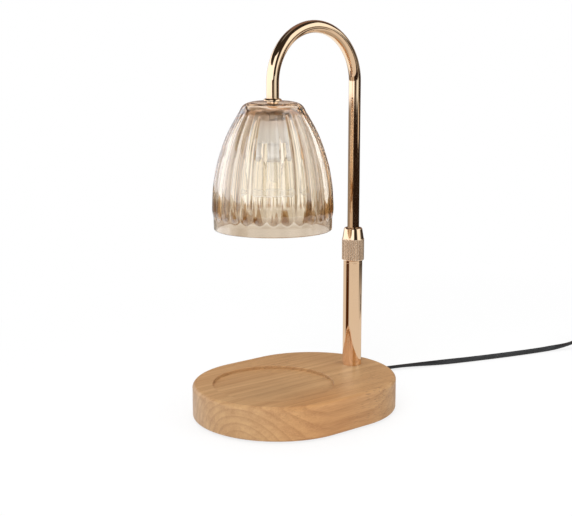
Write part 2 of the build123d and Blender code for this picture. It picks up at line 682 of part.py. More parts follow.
def holder_screw(side):
    """Pan-head screw up through the holder into the bracket's lug."""
    at = (SHADE_X + side * HOLDER_SCREW_SPACING / 2, 0)
    seat = HOLDER_BOTTOM + HOLDER_SCREW_SINK
    face = seat - 2.0
    top = HOLDER_TOP + BRACKET_PLATE + 1.5
    head = HOLDER_SCREW - LOOSE
    thread = HOLDER_SCREW / 2 - 0.2 - GLUED
    screw = turned([(0, face), (head - 0.5, face), (head, face + 0.6), (head, seat), (thread, seat),
                    (thread, top), (0, top)], at)
    return screw - cross_slot(at, face)


def bulb_pin(side):
    """Flanged pin of the bulb."""
    shank = PIN_SHANK / 2
    head = PIN_HEAD / 2
    seat = BULB_TOP + PIN_SHANK_LENGTH
    top = seat + PIN_HEAD_LENGTH
    return turned([(0, BULB_TOP), (shank, BULB_TOP), (shank, seat), (head, seat), (head, top - 0.5),
                   (head - 0.5, top), (0, top)], polar(PIN_SPACING / 2, side, (SHADE_X, 0)))


def bulb_base():
    """Ceramic bulb base with a shallow waist, closed at its lower end around the capsule."""
    top = BULB_BASE_DIAMETER / 2
    low = BULB_TOP - BULB_BASE_LENGTH
    return turned([(0, low), (top - 1.5, low), (top + 0.2, low + 2.0), (top + 0.2, low + 5.0),
                   (top - 1.0, low + 6.5), (top - 1.0, BULB_TOP - 3.0), (top - 1.8, BULB_TOP), (0, BULB_TOP)],
                  (SHADE_X, 0))


def bulb_reflector():
    """Thin pressed-glass reflector from the base to the front ring."""
    neck = BULB_BASE_DIAMETER / 2 + 0.2
    neck_z = BULB_TOP - BULB_BASE_LENGTH + 3.5
    rim = BULB_DIAMETER / 2
    rim_z = BULB_BOTTOM + BULB_LENS
    band_z = rim_z + 1.5
    mid = (neck + (rim - neck) * 0.62, neck_z - (neck_z - rim_z) * 0.42)
    outer = Spline((neck + BULB_GLASS, neck_z), (mid[0] + BULB_GLASS, mid[1]), (rim, band_z))
    band = Polyline((rim, band_z), (rim, rim_z), (rim - BULB_GLASS, rim_z), (rim - BULB_GLASS, band_z))
    inner = Spline((rim - BULB_GLASS, band_z), mid, (neck + GLUED, neck_z))
    top = Line((neck + GLUED, neck_z), (neck + BULB_GLASS, neck_z))
    section = make_face([outer, *band.edges(), inner, top])
    return Pos(SHADE_X, 0, 0) * revolve(Plane.XZ * section, Axis.Z)


def bulb_lens():
    """Front glass, slightly domed."""
    rim = BULB_DIAMETER / 2
    dome = ThreePointArc((0, BULB_BOTTOM), (rim * 0.5, BULB_BOTTOM + 0.35), (rim - 1.0, BULB_BOTTOM + 1.4))
    top = BULB_BOTTOM + BULB_LENS
    edge = (rim - 1.0, BULB_BOTTOM + 1.4)
    side = Polyline(edge, (rim, BULB_BOTTOM + 2.0), (rim, top), (0, top), (0, BULB_BOTTOM))
    return Pos(SHADE_X, 0, 0) * revolve(Plane.XZ * make_face([dome, *side.edges()]), Axis.Z)


def bulb_capsule():
    """Quartz capsule on the bulb's axis."""
    top = BULB_TOP - BULB_BASE_LENGTH
    capsule = rod(CAPSULE_DIAMETER / 2, top - CAPSULE_LENGTH, top, (SHADE_X, 0))
    return fillet(capsule.edges().group_by(Axis.Z)[0], CAPSULE_DIAMETER / 2 - 0.6)


# ---- cord -----------------------------------------------------------------------------------------
def cord_gland():
    """Rubber strain relief: snap flange in the cavity, body through the wood, tapered tail outside."""
    seat = END_RADIUS - RELIEF_SEAT - GLUED
    inner = seat + GLUED - RELIEF_FLANGE_THICKNESS
    cord = CORD_R + GLUED
    outer = RELIEF_DIAMETER / 2
    lip = outer + RELIEF_LIP
    end = END_RADIUS + RELIEF_LENGTH
    body = turned([(cord, inner), (lip, inner), (lip, seat), (outer, seat), (outer, END_RADIUS + 2.0),
                   (RELIEF_TIP / 2, end), (cord, end)])
    return exit_place(0).location * body


def relief_cone(direction):
    """Tapered rubber relief at one end of the dimmer."""
    start = DIMMER_LENGTH / 2 - 3.0
    end = start + DIMMER_RELIEF_LENGTH
    cord = CORD_R + GLUED
    outer = DIMMER_RELIEF_DIAMETER / 2
    body = turned([(cord, start), (outer, start), (outer, start + 4.0), (RELIEF_TIP / 2, end), (cord, end)])
    axis = Plane((0, 0, DIMMER_MIDDLE), z_dir=(direction, 0, 0))
    return dimmer_frame() * (axis.location * body)


def dimmer_frame():
    """Where the dimmer lies."""
    return Pos(*on_table(DIMMER_AT), 0) * Rot(0, 0, DIMMER_TURN)


def dimmer_shells():
    """Lower and upper half shells of the dimmer with the slot that the wheel stands out of."""
    middle = DIMMER_MIDDLE
    outline = SlotOverall(DIMMER_LENGTH, DIMMER_WIDTH)
    room = SlotOverall(DIMMER_LENGTH - 2 * DIMMER_WALL, DIMMER_WIDTH - 2 * DIMMER_WALL)
    lower = extrude(outline, middle)
    lower = fillet(lower.edges().group_by(Axis.Z)[0], DIMMER_ROUND)
    lower -= Pos(0, 0, DIMMER_WALL) * extrude(room, middle)
    upper = Pos(0, 0, middle) * extrude(outline, middle)
    upper = fillet(upper.edges().group_by(Axis.Z)[-1], DIMMER_ROUND)
    upper -= Pos(0, 0, middle) * extrude(room, middle - DIMMER_WALL)
    half_slot = WHEEL_THICKNESS / 2 + LOOSE
    gap = rod(WHEEL_DIAMETER / 2 + LOOSE, middle - half_slot, middle + half_slot)
    pillar = PILLAR_DIAMETER / 2
    hole = PILLAR_SCREW / 2
    head = PILLAR_HEAD / 2 + 0.2
    sink = DIMMER_HEIGHT - PILLAR_SINK
    for at in ((-PILLAR_X, PILLAR_Y), (PILLAR_X, PILLAR_Y)):
        lower += rod(pillar, DIMMER_WALL / 2, middle, at)
        lower -= rod(hole, middle - 5, middle + 1, at)
        upper += rod(pillar, middle, DIMMER_HEIGHT - DIMMER_WALL / 2, at)
        upper -= rod(hole + 0.2, middle - 1, sink + 1, at) + rod(head, sink, DIMMER_HEIGHT + 1, at)
    mouth = Circle(DIMMER_RELIEF_DIAMETER / 2 + GLUED)
    ends = Pos(0, 0, middle) * Rot(0, 90, 0) * extrude(mouth, DIMMER_LENGTH / 2 + 1, both=True)
    holes = ends - Box(DIMMER_LENGTH - 7, DIMMER_WIDTH, DIMMER_HEIGHT * 2)
    place = dimmer_frame()
    return place * (lower - gap - holes), place * (upper - gap - holes)


def dimmer_screw(x):
    """Pan-head screw that joins the two dimmer shells."""
    low = DIMMER_MIDDLE - 4.5
    seat = DIMMER_HEIGHT - PILLAR_SINK
    top = seat + 1.8
    shank = PILLAR_SCREW / 2 - GLUED
    head = PILLAR_HEAD / 2
    return dimmer_frame() * turned(
        [(0, low), (shank, low), (shank, seat), (head, seat), (head, top - 0.4), (head - 0.6, top), (0, top)],
        (x, PILLAR_Y))


def dimmer_wheel():
    """Notched thumb wheel on an upright spindle."""
    low = DIMMER_MIDDLE - WHEEL_THICKNESS / 2
    wheel = ring(WHEEL_DIAMETER / 2, SPINDLE_DIAMETER / 2 + RUNNING, low, low + WHEEL_THICKNESS)
    notch = rod(0.7, low - 1, low + WHEEL_THICKNESS + 1, (WHEEL_DIAMETER / 2 + 0.25, 0))
    wheel -= [Rot(0, 0, 360 * i / WHEEL_NOTCHES) * notch for i in range(WHEEL_NOTCHES)]
    return dimmer_frame() * wheel


def dimmer_inside():
    """Circuit board on the lower shell and the regulator body with its spindle."""
    top = DIMMER_WALL + BOARD_SIZE[2]
    board = Pos(0, -1.0, top - BOARD_SIZE[2] / 2) * Box(*BOARD_SIZE)
    height = DIMMER_MIDDLE - WHEEL_THICKNESS / 2 - LOOSE - top
    regulator = Pos(0, 0, top) * extrude(RectangleRounded(REGULATOR_SIZE, REGULATOR_SIZE, 1.5), height)
    regulator += rod(SPINDLE_DIAMETER / 2, top, DIMMER_HEIGHT - DIMMER_WALL - LOOSE)
    place = dimmer_frame()
    return place * board, place * regulator


def plug():
    """Plug body with a tapered relief towards the cord, and two flat blades."""
    length, width, height = PLUG_BODY
    straight = length * PLUG_STRAIGHT
    section = RectangleRounded(width, height, PLUG_ROUND)
    body = extrude(Plane.YZ * section, straight)
    body += extrude(Plane.YZ.offset(straight) * section, length - straight, taper=PLUG_TAPER)
    outer = PLUG_RELIEF_DIAMETER / 2
    end = length + PLUG_RELIEF_LENGTH
    relief = turned([(0, length - 1), (outer, length - 1), (outer, length), (RELIEF_TIP / 2, end), (0, end)])
    body += Rot(0, 90, 0) * relief
    place = Pos(*on_table(PLUG_AT), height / 2)
    blades = []
    for y in (-BLADE_SPACING / 2, BLADE_SPACING / 2):
        blade = Pos(-BLADE_LENGTH / 2, y, 0) * Box(BLADE_LENGTH, BLADE_THICKNESS, BLADE_WIDTH)
        hole = Pos(-BLADE_LENGTH + BLADE_HOLE_FROM_TIP, y, 0) * Rot(90, 0, 0)
        blades.append(place * (blade - hole * Cylinder(BLADE_HOLE / 2, BLADE_THICKNESS * 2)))
    return place * body, blades


def plug_mouth():
    """Where the tail of the cord leaves the plug's relief."""
    at = on_table(PLUG_AT)
    return (at[0] + PLUG_BODY[0] + PLUG_RELIEF_LENGTH + GLUED, at[1], PLUG_BODY[2] / 2)


def cord_points():
    """The cord's route in three stretches: to the dimmer, on to the coil, and from there to the plug."""
    start = on_table((0, 0))
    run = [(*start, EXIT_Z), (*polar(RUN_DROP[0], EXIT_ANGLE, start), RUN_DROP[1])]
    run += [(*on_table(offset), CORD_Z) for offset in RUN_BENDS]
    run += [(*on_table(RUN_RISE), RUN_RISE[2]), dimmer_end(DIMMER_TURN + 180)]
    lead = [dimmer_end(DIMMER_TURN), (*on_table(LEAD_DROP), LEAD_DROP[2])]
    lead += [(*on_table(offset), CORD_Z) for offset in LEAD_BENDS]
    mouth = plug_mouth()
    tail = [(*on_table(TAIL_START), mouth[2]), (mouth[0] + TAIL_STRAIGHT, *mouth[1:]), mouth]
    return run, lead, tail


def dimmer_end(angle):
    """Where the cord meets one of the dimmer's two reliefs."""
    out = DIMMER_LENGTH / 2 - 3.0 + DIMMER_RELIEF_LENGTH
    return (*polar(out, angle, on_table(DIMMER_AT)), DIMMER_MIDDLE)


def cord_coil():
    """Outer shape of the neat round coil, lifted off the table by the tie under it."""
    low = TIE_THICKNESS + GLUED
    coil = ring(COIL_OUTER / 2, COIL_INNER / 2, low, low + COIL_HEIGHT, on_table(COIL_AT))
    return fillet(coil.edges(), COIL_ROUND)


def coil_tie():
    """Thin band round the coil's section."""
    middle = on_table((COIL_AT[0] + (COIL_OUTER + COIL_INNER) / 4, COIL_AT[1]))
    inner = ((COIL_OUTER - COIL_INNER) / 2 + 2 * LOOSE, COIL_HEIGHT + 2 * GLUED)
    outer = (inner[0] + 2 * TIE_THICKNESS, inner[1] + 2 * TIE_THICKNESS)
    outline = RectangleRounded(*outer, COIL_ROUND) - RectangleRounded(*inner, COIL_ROUND - TIE_THICKNESS)
    band = extrude(Plane.XZ * outline, TIE_WIDTH / 2, both=True)
    return Pos(*middle, outer[1] / 2) * band


# ---- build ----------------------------------------------------------------------------------------
os.makedirs("parts", exist_ok=True)

write("wood_base", wood_base())
write("rubber_feet", *[rod(FOOT_DIAMETER / 2, 0, FOOT_THICKNESS, at) for at in foot_places()])
write("bottom_cover", bottom_cover())
write("cover_screws", *[cover_screw(at) for at in screw_places()])

block, block_screws = terminal_block()
write("terminal_block", block)
write("terminal_screws", *block_screws)
write("base_lead", base_lead())
write("post_lead", post_lead())

write("post_foot", post_foot())
nut_top = CAVITY_TOP - WASHER_THICKNESS
nut_bore = STUD_DIAMETER / 2 + GLUED
write("stud_washer", ring(WASHER_DIAMETER / 2, STUD_DIAMETER / 2 + LOOSE, nut_top, CAVITY_TOP, (POST_X, 0)))
write("stud_nut", hex_nut(STUD_NUT_FLATS, nut_bore, nut_top - STUD_NUT_HEIGHT, nut_top, (POST_X, 0)))
write("post_tube", ring(POST_R, POST_BORE, WOOD_TOP, POST_TOP, (POST_X, 0)))
write("post_ferrule", post_ferrule())
write("post_liner", post_liner())
write("clamp_collet", clamp_collet())
write("clamp_nut", clamp_nut())

guide_top = GUIDE_Z + GUIDE_HEIGHT
write("guide_bush", ring(POST_BORE - RUNNING, CROOK_R + RUNNING, GUIDE_Z, guide_top, (POST_X, 0)))
write("guide_clips", guide_clip(GUIDE_Z - LOOSE - CLIP_THICKNESS), guide_clip(guide_top + LOOSE))
write("crook_tube", crook_tube())
write("crook_grommet", crook_grommet())
write("crook_lead", crook_lead())
write("crook_nipple", crook_nipple())
write("neck_ring", neck_ring())

hole = SHADE_HOLE / 2
write("shade_gaskets",
      ring(NECK_RING_DIAMETER / 2, hole, WELL_FLOOR, NECK_RING_Z, (SHADE_X, 0)),
      ring(GASKET_DIAMETER / 2, hole, GLASS_UNDER - GASKET_THICKNESS, GLASS_UNDER, (SHADE_X, 0)))
write("glass_shade", glass_shade())
write("holder_bracket", holder_bracket())
lock_top = BRACKET_TOP - BRACKET_PLATE
lock_bore = NIPPLE_DIAMETER / 2 + GLUED
lock_low = lock_top - LOCK_NUT_HEIGHT
write("shade_lock_nut", hex_nut(STUD_NUT_FLATS, lock_bore, lock_low, lock_top, (SHADE_X, 0)))
holder, contacts = lamp_holder()
write("lamp_holder", holder)
write("holder_contacts", *contacts)
write("holder_screws", *[holder_screw(side) for side in (-1, 1)])

write("bulb_base", bulb_base())
write("bulb_pins", *[bulb_pin(side) for side in (90, 270)])
write("bulb_reflector", bulb_reflector())
write("bulb_lens", bulb_lens())
write("bulb_capsule", bulb_capsule())

write("cord_relief", cord_gland())
run, lead, tail = cord_points()
run_tube, run_length = cord_tube("run", run, CORD_R)
lead_tube, lead_length = cord_tube("lead", lead, CORD_R)
tail_tube, tail_length = cord_tube("tail", tail, CORD_R)
write("cord_run", run_tube)
write("cord_lead", lead_tube)
write("cord_coil", cord_coil())
write("coil_tie", coil_tie())
write("cord_tail", tail_tube)
print("coil holds", round(CORD_LENGTH - DIMMER_LENGTH - run_length - lead_length - tail_length, 1))

lower_shell, upper_shell = dimmer_shells()
write("dimmer_lower_shell", lower_shell)
write("dimmer_upper_shell", upper_shell)
write("dimmer_screws", *[dimmer_screw(x) for x in (-PILLAR_X, PILLAR_X)])
write("dimmer_wheel", dimmer_wheel())
board, regulator = dimmer_inside()
write("dimmer_board", board)
write("dimmer_regulator", regulator)
write("dimmer_reliefs", relief_cone(-1), relief_cone(1))

plug_body, plug_blades = plug()
write("plug_body", plug_body)
write("plug_blades", *plug_blades)
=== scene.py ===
"""Looks of a candle warmer lamp: oval wood base, telescopic post, bent crook, fluted glass shade, flat cord.

Every length is in metres. The frame's origin is on the table under the middle of the base, +X runs from the
candle recess to the post and +Z is up.
"""

import logging
import math
from collections.abc import Callable, Sequence
from dataclasses import dataclass
from enum import Enum

import bmesh
import bpy
from mathutils import Matrix, Vector


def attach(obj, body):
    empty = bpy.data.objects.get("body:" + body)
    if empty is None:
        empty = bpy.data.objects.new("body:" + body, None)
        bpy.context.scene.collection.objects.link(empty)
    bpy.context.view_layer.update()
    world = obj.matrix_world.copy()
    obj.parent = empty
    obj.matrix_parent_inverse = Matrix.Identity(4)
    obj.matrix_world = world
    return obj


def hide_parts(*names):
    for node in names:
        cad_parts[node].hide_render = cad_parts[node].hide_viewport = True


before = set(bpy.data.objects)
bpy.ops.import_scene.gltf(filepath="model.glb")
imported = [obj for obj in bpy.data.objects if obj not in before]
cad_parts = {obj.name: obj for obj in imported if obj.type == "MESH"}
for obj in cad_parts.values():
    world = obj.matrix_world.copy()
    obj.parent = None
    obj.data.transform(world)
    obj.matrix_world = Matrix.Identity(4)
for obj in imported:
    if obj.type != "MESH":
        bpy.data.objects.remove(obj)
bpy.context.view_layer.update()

log = logging.getLogger("lamp")

Colour = tuple[float, float, float]
Point = tuple[float, float, float]
Corner = tuple[float, float, float]
Pair = tuple[float, float]
Limits = tuple[float, ...]
Socket = bpy.types.NodeSocket
Value = float | tuple[float, ...] | bpy.types.Node | Socket
Inputs = dict[str | int, Value]
Edges = list[bmesh.types.BMEdge]
Verts = list[bmesh.types.BMVert]

POST_AT = (0.0715, 0.0)
SHADE_AT = (-0.0265, 0.0)
TURN = 2 * math.pi
# the usual spread of a noise value, and a scale that leaves height out of a texture
MIDDLE = (0.3, 0.7)
NO_HEIGHT = (1.0, 1.0, 0.0)


# ---- node wiring ----------------------------------------------------------------------------------
class Tree:
    """Short words for wiring a node tree."""

    def __init__(self, tree: bpy.types.NodeTree) -> None:
        """Empties the tree.

        Args:
            tree: the node tree of a material or of the world.
        """
        self.nodes = tree.nodes
        self.links = tree.links
        self.nodes.clear()

    def feed(self, node: bpy.types.Node, key: str | int, value: Value) -> None:
        """Sets an input to a number or colour, or links it.

        Args:
            node: the node that takes the value.
            key: the input's name or index.
            value: a plain value, a node (its first output) or an output socket.
        """
        if isinstance(value, bpy.types.Node):
            value = value.outputs[0]
        if isinstance(value, bpy.types.NodeSocket):
            self.links.new(value, node.inputs[key])
        else:
            node.inputs[key].default_value = value

    def add(self, kind: str, inputs: Inputs | None = None, **settings: object) -> bpy.types.Node:
        """Adds a shader node.

        Args:
            kind: the node's type without its ShaderNode prefix.
            inputs: values and links by input name or index.
            settings: properties of the node itself.

        Returns:
            The new node.
        """
        node = self.nodes.new("ShaderNode" + kind)
        for key, value in settings.items():
            setattr(node, key, value)
        for key, value in (inputs or {}).items():
            self.feed(node, key, value)
        return node

    def coords(self) -> Socket:
        """Object coordinates, which are the frame's own for every piece."""
        return self.add("TexCoord").outputs["Object"]

    def axes(self, vector: Value) -> Sequence[Socket]:
        """The three parts of a vector."""
        return self.add("SeparateXYZ", {0: vector}).outputs

    def place(self, vector: Value, scale: Point, shift: Point = (0.0, 0.0, 0.0)) -> Socket:
        """Coordinates scaled and then moved."""
        return self.add("Mapping", {"Vector": vector, "Location": shift, "Scale": scale}).outputs[0]

    def math(self, operation: str, first: Value, second: Value = 0.0) -> Socket:
        """One step of arithmetic."""
        return self.add("Math", {0: first, 1: second}, operation=operation).outputs[0]

    def plus(self, first: Value, second: Value) -> Socket:
        """The sum of two values."""
        return self.math("ADD", first, second)

    def minus(self, first: Value, second: Value) -> Socket:
        """The first value less the second."""
        return self.math("SUBTRACT", first, second)

    def times(self, first: Value, second: Value) -> Socket:
        """The product of two values."""
        return self.math("MULTIPLY", first, second)

    def distance(self, across: Value, up: Value) -> Socket:
        """The length of two steps at right angles."""
        return self.math("SQRT", self.plus(self.math("POWER", across, 2.0), self.math("POWER", up, 2.0)))

    def noise(self, vector: Value, scale: float, detail: float = 3.0, roughness: float = 0.5) -> Socket:
        """Noise value from 0 to 1, about 0.5."""
        node = self.add("TexNoise", {"Vector": vector, "Scale": scale, "Detail": detail, "Roughness": roughness})
        return node.outputs[0]

    def stretched(self, vector: Value, scale: Point, detail: float, roughness: float = 0.5) -> Socket:
        """Noise with a scale of its own along each axis."""
        return self.noise(self.place(vector, scale), 1.0, detail, roughness)

    def fit(self, value: Value, low: float, high: float, to_low: float = 0.0, to_high: float = 1.0) -> Socket:
        """Maps one range on another, clamped."""
        inputs = {"Value": value, "From Min": low, "From Max": high, "To Min": to_low, "To Max": to_high}
        return self.add("MapRange", inputs).outputs[0]

    def mix(self, share: Value, first: Value, second: Value, blend: str = "MIX") -> Socket:
        """Mixes two colours.

        Args:
            share: how much of the second colour.
            first: a colour of four numbers, or a link.
            second: a colour of four numbers, or a link.
            blend: Blender's name for the way of mixing.

        Returns:
            The colour output.
        """
        node = self.add("Mix", {0: share, 6: first, 7: second}, data_type="RGBA", blend_type=blend)
        return node.outputs[2]

    def ramp(self, value: Value, stops: Sequence[Pair]) -> Socket:
        """Grey ramp through some stops.

        Args:
            value: a place on the ramp, from 0 to 1.
            stops: place and brightness of each stop.

        Returns:
            The colour output.
        """
        node = self.add("ValToRGB", {"Fac": value})
        band = node.color_ramp
        while len(band.elements) < len(stops):
            band.elements.new(0.5)
        for element, (at, grey) in zip(band.elements, stops):
            element.position = at
            element.color = solid((grey, grey, grey))
        return node.outputs[0]

    def window(self, value: Value, low: float, high: float, soft: float) -> Socket:
        """One between two values and nought outside them, with soft edges.

        Args:
            value: what is looked at.
            low: the middle of the lower edge.
            high: the middle of the upper edge.
            soft: how wide each edge is.

        Returns:
            The share, from 0 to 1.
        """
        rise, fall = [
            self.add("MapRange", {"Value": value, "From Min": edge - half, "From Max": edge + half},
                     interpolation_type="SMOOTHSTEP")
            for edge, half in ((low, soft / 2), (high, -soft / 2))
        ]
        return self.times(rise, fall)

    def bump(self, height: Value, distance: float, strength: float = 1.0) -> Socket:
        """Normal from a height."""
        return self.add("Bump", {"Height": height, "Distance": distance, "Strength": strength}).outputs[0]


def solid(colour: Colour) -> tuple[float, float, float, float]:
    """The colour with full alpha."""
    return (*colour, 1.0)


# ---- finishes -------------------------------------------------------------------------------------
@dataclass(frozen=True)
class Finish:
    """A surface: a plain name, the slot that it belongs to, and the numbers of its shader."""

    name: str
    slot: str
    colour: Colour = (0.5, 0.5, 0.5)
    roughness: float = 0.5

    def material(self) -> bpy.types.Material:
        """Makes the Blender material the first time that it is asked for.

        Returns:
            The material.
        """
        found = bpy.data.materials.get(self.name)
        if found is not None:
            return found
        made = bpy.data.materials.new(self.name)
        made.use_nodes = True
        made.diffuse_color = solid(self.colour)
        tree = Tree(made.node_tree)
        plain: Inputs = {"Base Color": solid(self.colour), "Roughness": self.roughness}
        shader = tree.add("BsdfPrincipled", plain | self.surface(tree))
        tree.add("OutputMaterial", {"Surface": shader} | self.inside(tree))
        return made

    def about(self, spread: Pair) -> Pair:
        """Roughness a little to either side of the finish's own."""
        return self.roughness + spread[0], self.roughness + spread[1]

    def surface(self, tree: Tree) -> Inputs:
        """Inputs of the surface shader that the finish sets by itself."""
        raise NotImplementedError

    def inside(self, tree: Tree) -> Inputs:
        """Inputs of the material for what lies under its surface: none, as a rule."""
        return {}


@dataclass(frozen=True)
class Wood(Finish):
    """Light close-grained hardwood under a thin satin coat, its rings centred on a line along X."""

    pale: Colour = (0.61, 0.378, 0.178)
    warm: Colour = (0.49, 0.268, 0.115)
    late: Colour = (0.33, 0.158, 0.060)
    pore: Colour = (0.19, 0.095, 0.042)
    # rings: the heart's Y and Z, how it sways along the plank, their spacing, and brightness through one year
    heart: Pair = (-0.034, -0.008)
    along: Point = (0.35, 1.0, 1.0)
    sway_scale: Pair = (14.0, 9.0)
    sway_shift: Point = (3.1, 1.7, 0.4)
    sway: Pair = (0.018, 0.012)
    ring: float = 0.0062
    year: tuple[Pair, ...] = ((0.0, 0.15), (0.55, 0.3), (0.88, 0.85), (0.97, 0.35), (1.0, 0.15))
    ring_share: float = 0.66
    # textures: scale along each axis, and how their values become shares of a colour
    broad: Point = (3.0, 22.0, 22.0)
    broad_share: Limits = (0.35, 0.65, 0.0, 0.75)
    streak: Point = (7.0, 150.0, 150.0)
    streak_share: Limits = (0.36, 0.66, 0.0, 0.55)
    fibre: Point = (45.0, 1300.0, 1300.0)
    fibre_share: Limits = (0.40, 0.66, 0.0, 0.34)
    dash: Point = (130.0, 1500.0, 1500.0)
    dash_share: Limits = (0.62, 0.68)
    patch: float = 26.0
    patch_share: Limits = (0.42, 0.62, 0.25, 0.95)
    # fewer pores towards the recess, and painted shade with a warm reflection on the front next to the recess, as a
    # candle jar would cast it
    pores_by_x: Limits = (-0.030, 0.040, 0.35, 0.90)
    painted_jar_shade: Colour = (1.0, 0.80, 0.58)
    jar_shade_x: Limits = (-0.075, 0.015, 0.070)
    jar_shade_y: Limits = (-0.015, -0.065)
    jar_shade_share: float = 0.65
    # gloss, relief and coat
    gloss_limits: Limits = (0.2, 0.8)
    gloss: Pair = (-0.06, 0.08)
    fibre_height: float = 0.35
    relief: float = 0.00012
    relief_share: float = 0.55
    coat: float = 0.12
    coat_roughness: float = 0.35

    def surface(self, tree: Tree) -> Inputs:
        """Rings, long streaks, fibres and short dark pores, all as solid textures stretched along X.

        Args:
            tree: the material's nodes.

        Returns:
            Inputs of the surface shader.
        """
        at = tree.coords()
        x, y, _ = tree.axes(at)
        streak = tree.stretched(at, self.streak, 5.0, 0.6)
        fibre = tree.stretched(at, self.fibre, 2.0)
        broad = tree.fit(tree.stretched(at, self.broad, 2.0), *self.broad_share)
        tone = tree.mix(broad, solid(self.pale), solid(self.warm))
        tone = tree.mix(tree.times(self.rings(tree, at), self.ring_share), tone, solid(self.late))
        tone = tree.mix(tree.fit(streak, *self.streak_share), tone, solid(self.late))
        tone = tree.mix(tree.fit(fibre, *self.fibre_share), tone, solid(self.pale))
        # painted shade and warm reflection on the front next to the recess, as from a candle jar
        jar_shade_mask = tree.times(tree.window(x, *self.jar_shade_x), tree.fit(y, *self.jar_shade_y))
        painted_jar_shade = tree.mix(1.0, tone, solid(self.painted_jar_shade), "MULTIPLY")
        tone = tree.mix(tree.times(jar_shade_mask, self.jar_shade_share), tone, painted_jar_shade)
        patch = tree.fit(tree.noise(at, self.patch, 1.0), *self.patch_share)
        pores = tree.times(tree.fit(tree.stretched(at, self.dash, 1.0), *self.dash_share), patch)
        pores = tree.times(pores, tree.fit(x, *self.pores_by_x))
        height = tree.minus(tree.times(fibre, self.fibre_height), pores)
        return {
            "Base Color": tree.mix(pores, tone, solid(self.pore)),
            "Roughness": tree.fit(streak, *self.gloss_limits, *self.about(self.gloss)),
            "Normal": tree.bump(height, self.relief, self.relief_share),
            "Coat Weight": self.coat,
            "Coat Roughness": self.coat_roughness,
        }

    def rings(self, tree: Tree, at: Socket) -> Socket:
        """Growth rings round a heart that sways slowly along the plank.

        Args:
            tree: the material's nodes.
            at: the coordinates.

        Returns:
            How dark the ring is.
        """
        _, y, z = tree.axes(at)
        along = tree.place(at, self.along)
        shifted = tree.place(along, (1.0, 1.0, 1.0), self.sway_shift)
        sway = tree.minus(tree.noise(along, self.sway_scale[0], 2.0), 0.5)
        lean = tree.minus(tree.noise(shifted, self.sway_scale[1], 2.0), 0.5)
        across = tree.plus(tree.minus(y, self.heart[0]), tree.times(sway, self.sway[0]))
        up = tree.plus(tree.minus(z, self.heart[1]), tree.times(lean, self.sway[1]))
        age = tree.math("FRACT", tree.math("DIVIDE", tree.distance(across, up), self.ring))
        return tree.ramp(age, self.year)


@dataclass(frozen=True)
class Plated(Finish):
    """Polished plated metal with faint wiping marks and a little unevenness in its gloss."""

    waviness: float = 0.000005
    wave: float = 90.0
    light: Colour = (0.95, 0.72, 0.52)
    light_share: float = 0.12
    blotch: float = 60.0
    marks: Point = (900.0, 900.0, 60.0)
    marks_share: Limits = (0.55, 0.8, 0.0, 0.02)
    uneven: float = 0.02

    def surface(self, tree: Tree) -> Inputs:
        """Metal whose gloss varies slowly, with a very low long wave in the surface.

        Args:
            tree: the material's nodes.

        Returns:
            Inputs of the surface shader.
        """
        at = tree.coords()
        blotch = tree.noise(at, self.blotch, 3.0)
        marks = tree.fit(tree.stretched(at, self.marks, 2.0), *self.marks_share)
        gloss = tree.plus(tree.fit(blotch, *MIDDLE, -self.uneven, self.uneven), marks)
        lighter = tree.fit(blotch, *MIDDLE, 0.0, self.light_share)
        return {
            "Metallic": 1.0,
            "Base Color": tree.mix(lighter, solid(self.colour), solid(self.light)),
            "Roughness": tree.plus(gloss, self.roughness),
            "Normal": tree.bump(tree.noise(at, self.wave, 1.0), self.waviness),
        }


@dataclass(frozen=True)
class Steel(Finish):
    """Zinc-plated or machined metal with fine lines round it."""

    grain: Point = (120.0, 120.0, 3000.0)
    grain_depth: float = 0.00003
    grain_share: float = 0.6
    dull: float = 300.0
    dull_share: float = 0.35
    darker: float = 0.6
    gloss: Pair = (-0.06, 0.1)

    def surface(self, tree: Tree) -> Inputs:
        """Metal with fine machining lines and dull patches.

        Args:
            tree: the material's nodes.

        Returns:
            Inputs of the surface shader.
        """
        at = tree.coords()
        dull = tree.noise(at, self.dull, 2.0)
        shade = solid(tuple(c * self.darker for c in self.colour))
        return {
            "Metallic": 1.0,
            "Base Color": tree.mix(tree.fit(dull, *MIDDLE, 0.0, self.dull_share), solid(self.colour), shade),
            "Roughness": tree.fit(dull, *MIDDLE, *self.about(self.gloss)),
            "Normal": tree.bump(tree.stretched(at, self.grain, 2.0), self.grain_depth, self.grain_share),
        }


@dataclass(frozen=True)
class Moulded(Finish):
    """Moulded plastic, rubber or dull ceramic: fine skin texture and a slow change of tone."""

    texture: float = 2200.0
    depth: float = 0.00002
    fade: float = 0.25
    depth_share: float = 0.7
    handled: float = 45.0
    gloss: Pair = (0.06, -0.06)

    def surface(self, tree: Tree) -> Inputs:
        """Speckled skin, with handled patches that shine a little more.

        Args:
            tree: the material's nodes.

        Returns:
            Inputs of the surface shader.
        """
        at = tree.coords()
        handled = tree.noise(at, self.handled, 2.0)
        light = tuple(min(1.0, c * (1 + self.fade) + 0.01 * self.fade) for c in self.colour)
        return {
            "Base Color": tree.mix(tree.fit(handled, *MIDDLE), solid(self.colour), solid(light)),
            "Roughness": tree.fit(handled, *MIDDLE, *self.about(self.gloss)),
            "Normal": tree.bump(tree.noise(at, self.texture, 2.0), self.depth, self.depth_share),
        }


@dataclass(frozen=True)
class Glass(Finish):
    """Thin pressed glass, with a slight unevenness in its gloss and its surface."""

    clear: float = 1.0
    ior: float = 1.12
    mottle: float = 300.0
    uneven: float = 0.04
    wave: float = 120.0
    waviness: float = 0.00002

    def surface(self, tree: Tree) -> Inputs:
        """Transmission, with the gloss a little uneven and a low bump from pressing.

        Args:
            tree: the material's nodes.

        Returns:
            Inputs of the surface shader.
        """
        at = tree.coords()
        mottle = tree.noise(at, self.mottle, 2.0)
        return {
            "Transmission Weight": self.clear,
            "IOR": self.ior,
            "Roughness": tree.fit(mottle, *MIDDLE, *self.about((0.0, self.uneven))),
            "Normal": tree.bump(tree.noise(at, self.wave, 1.0), self.waviness),
        }


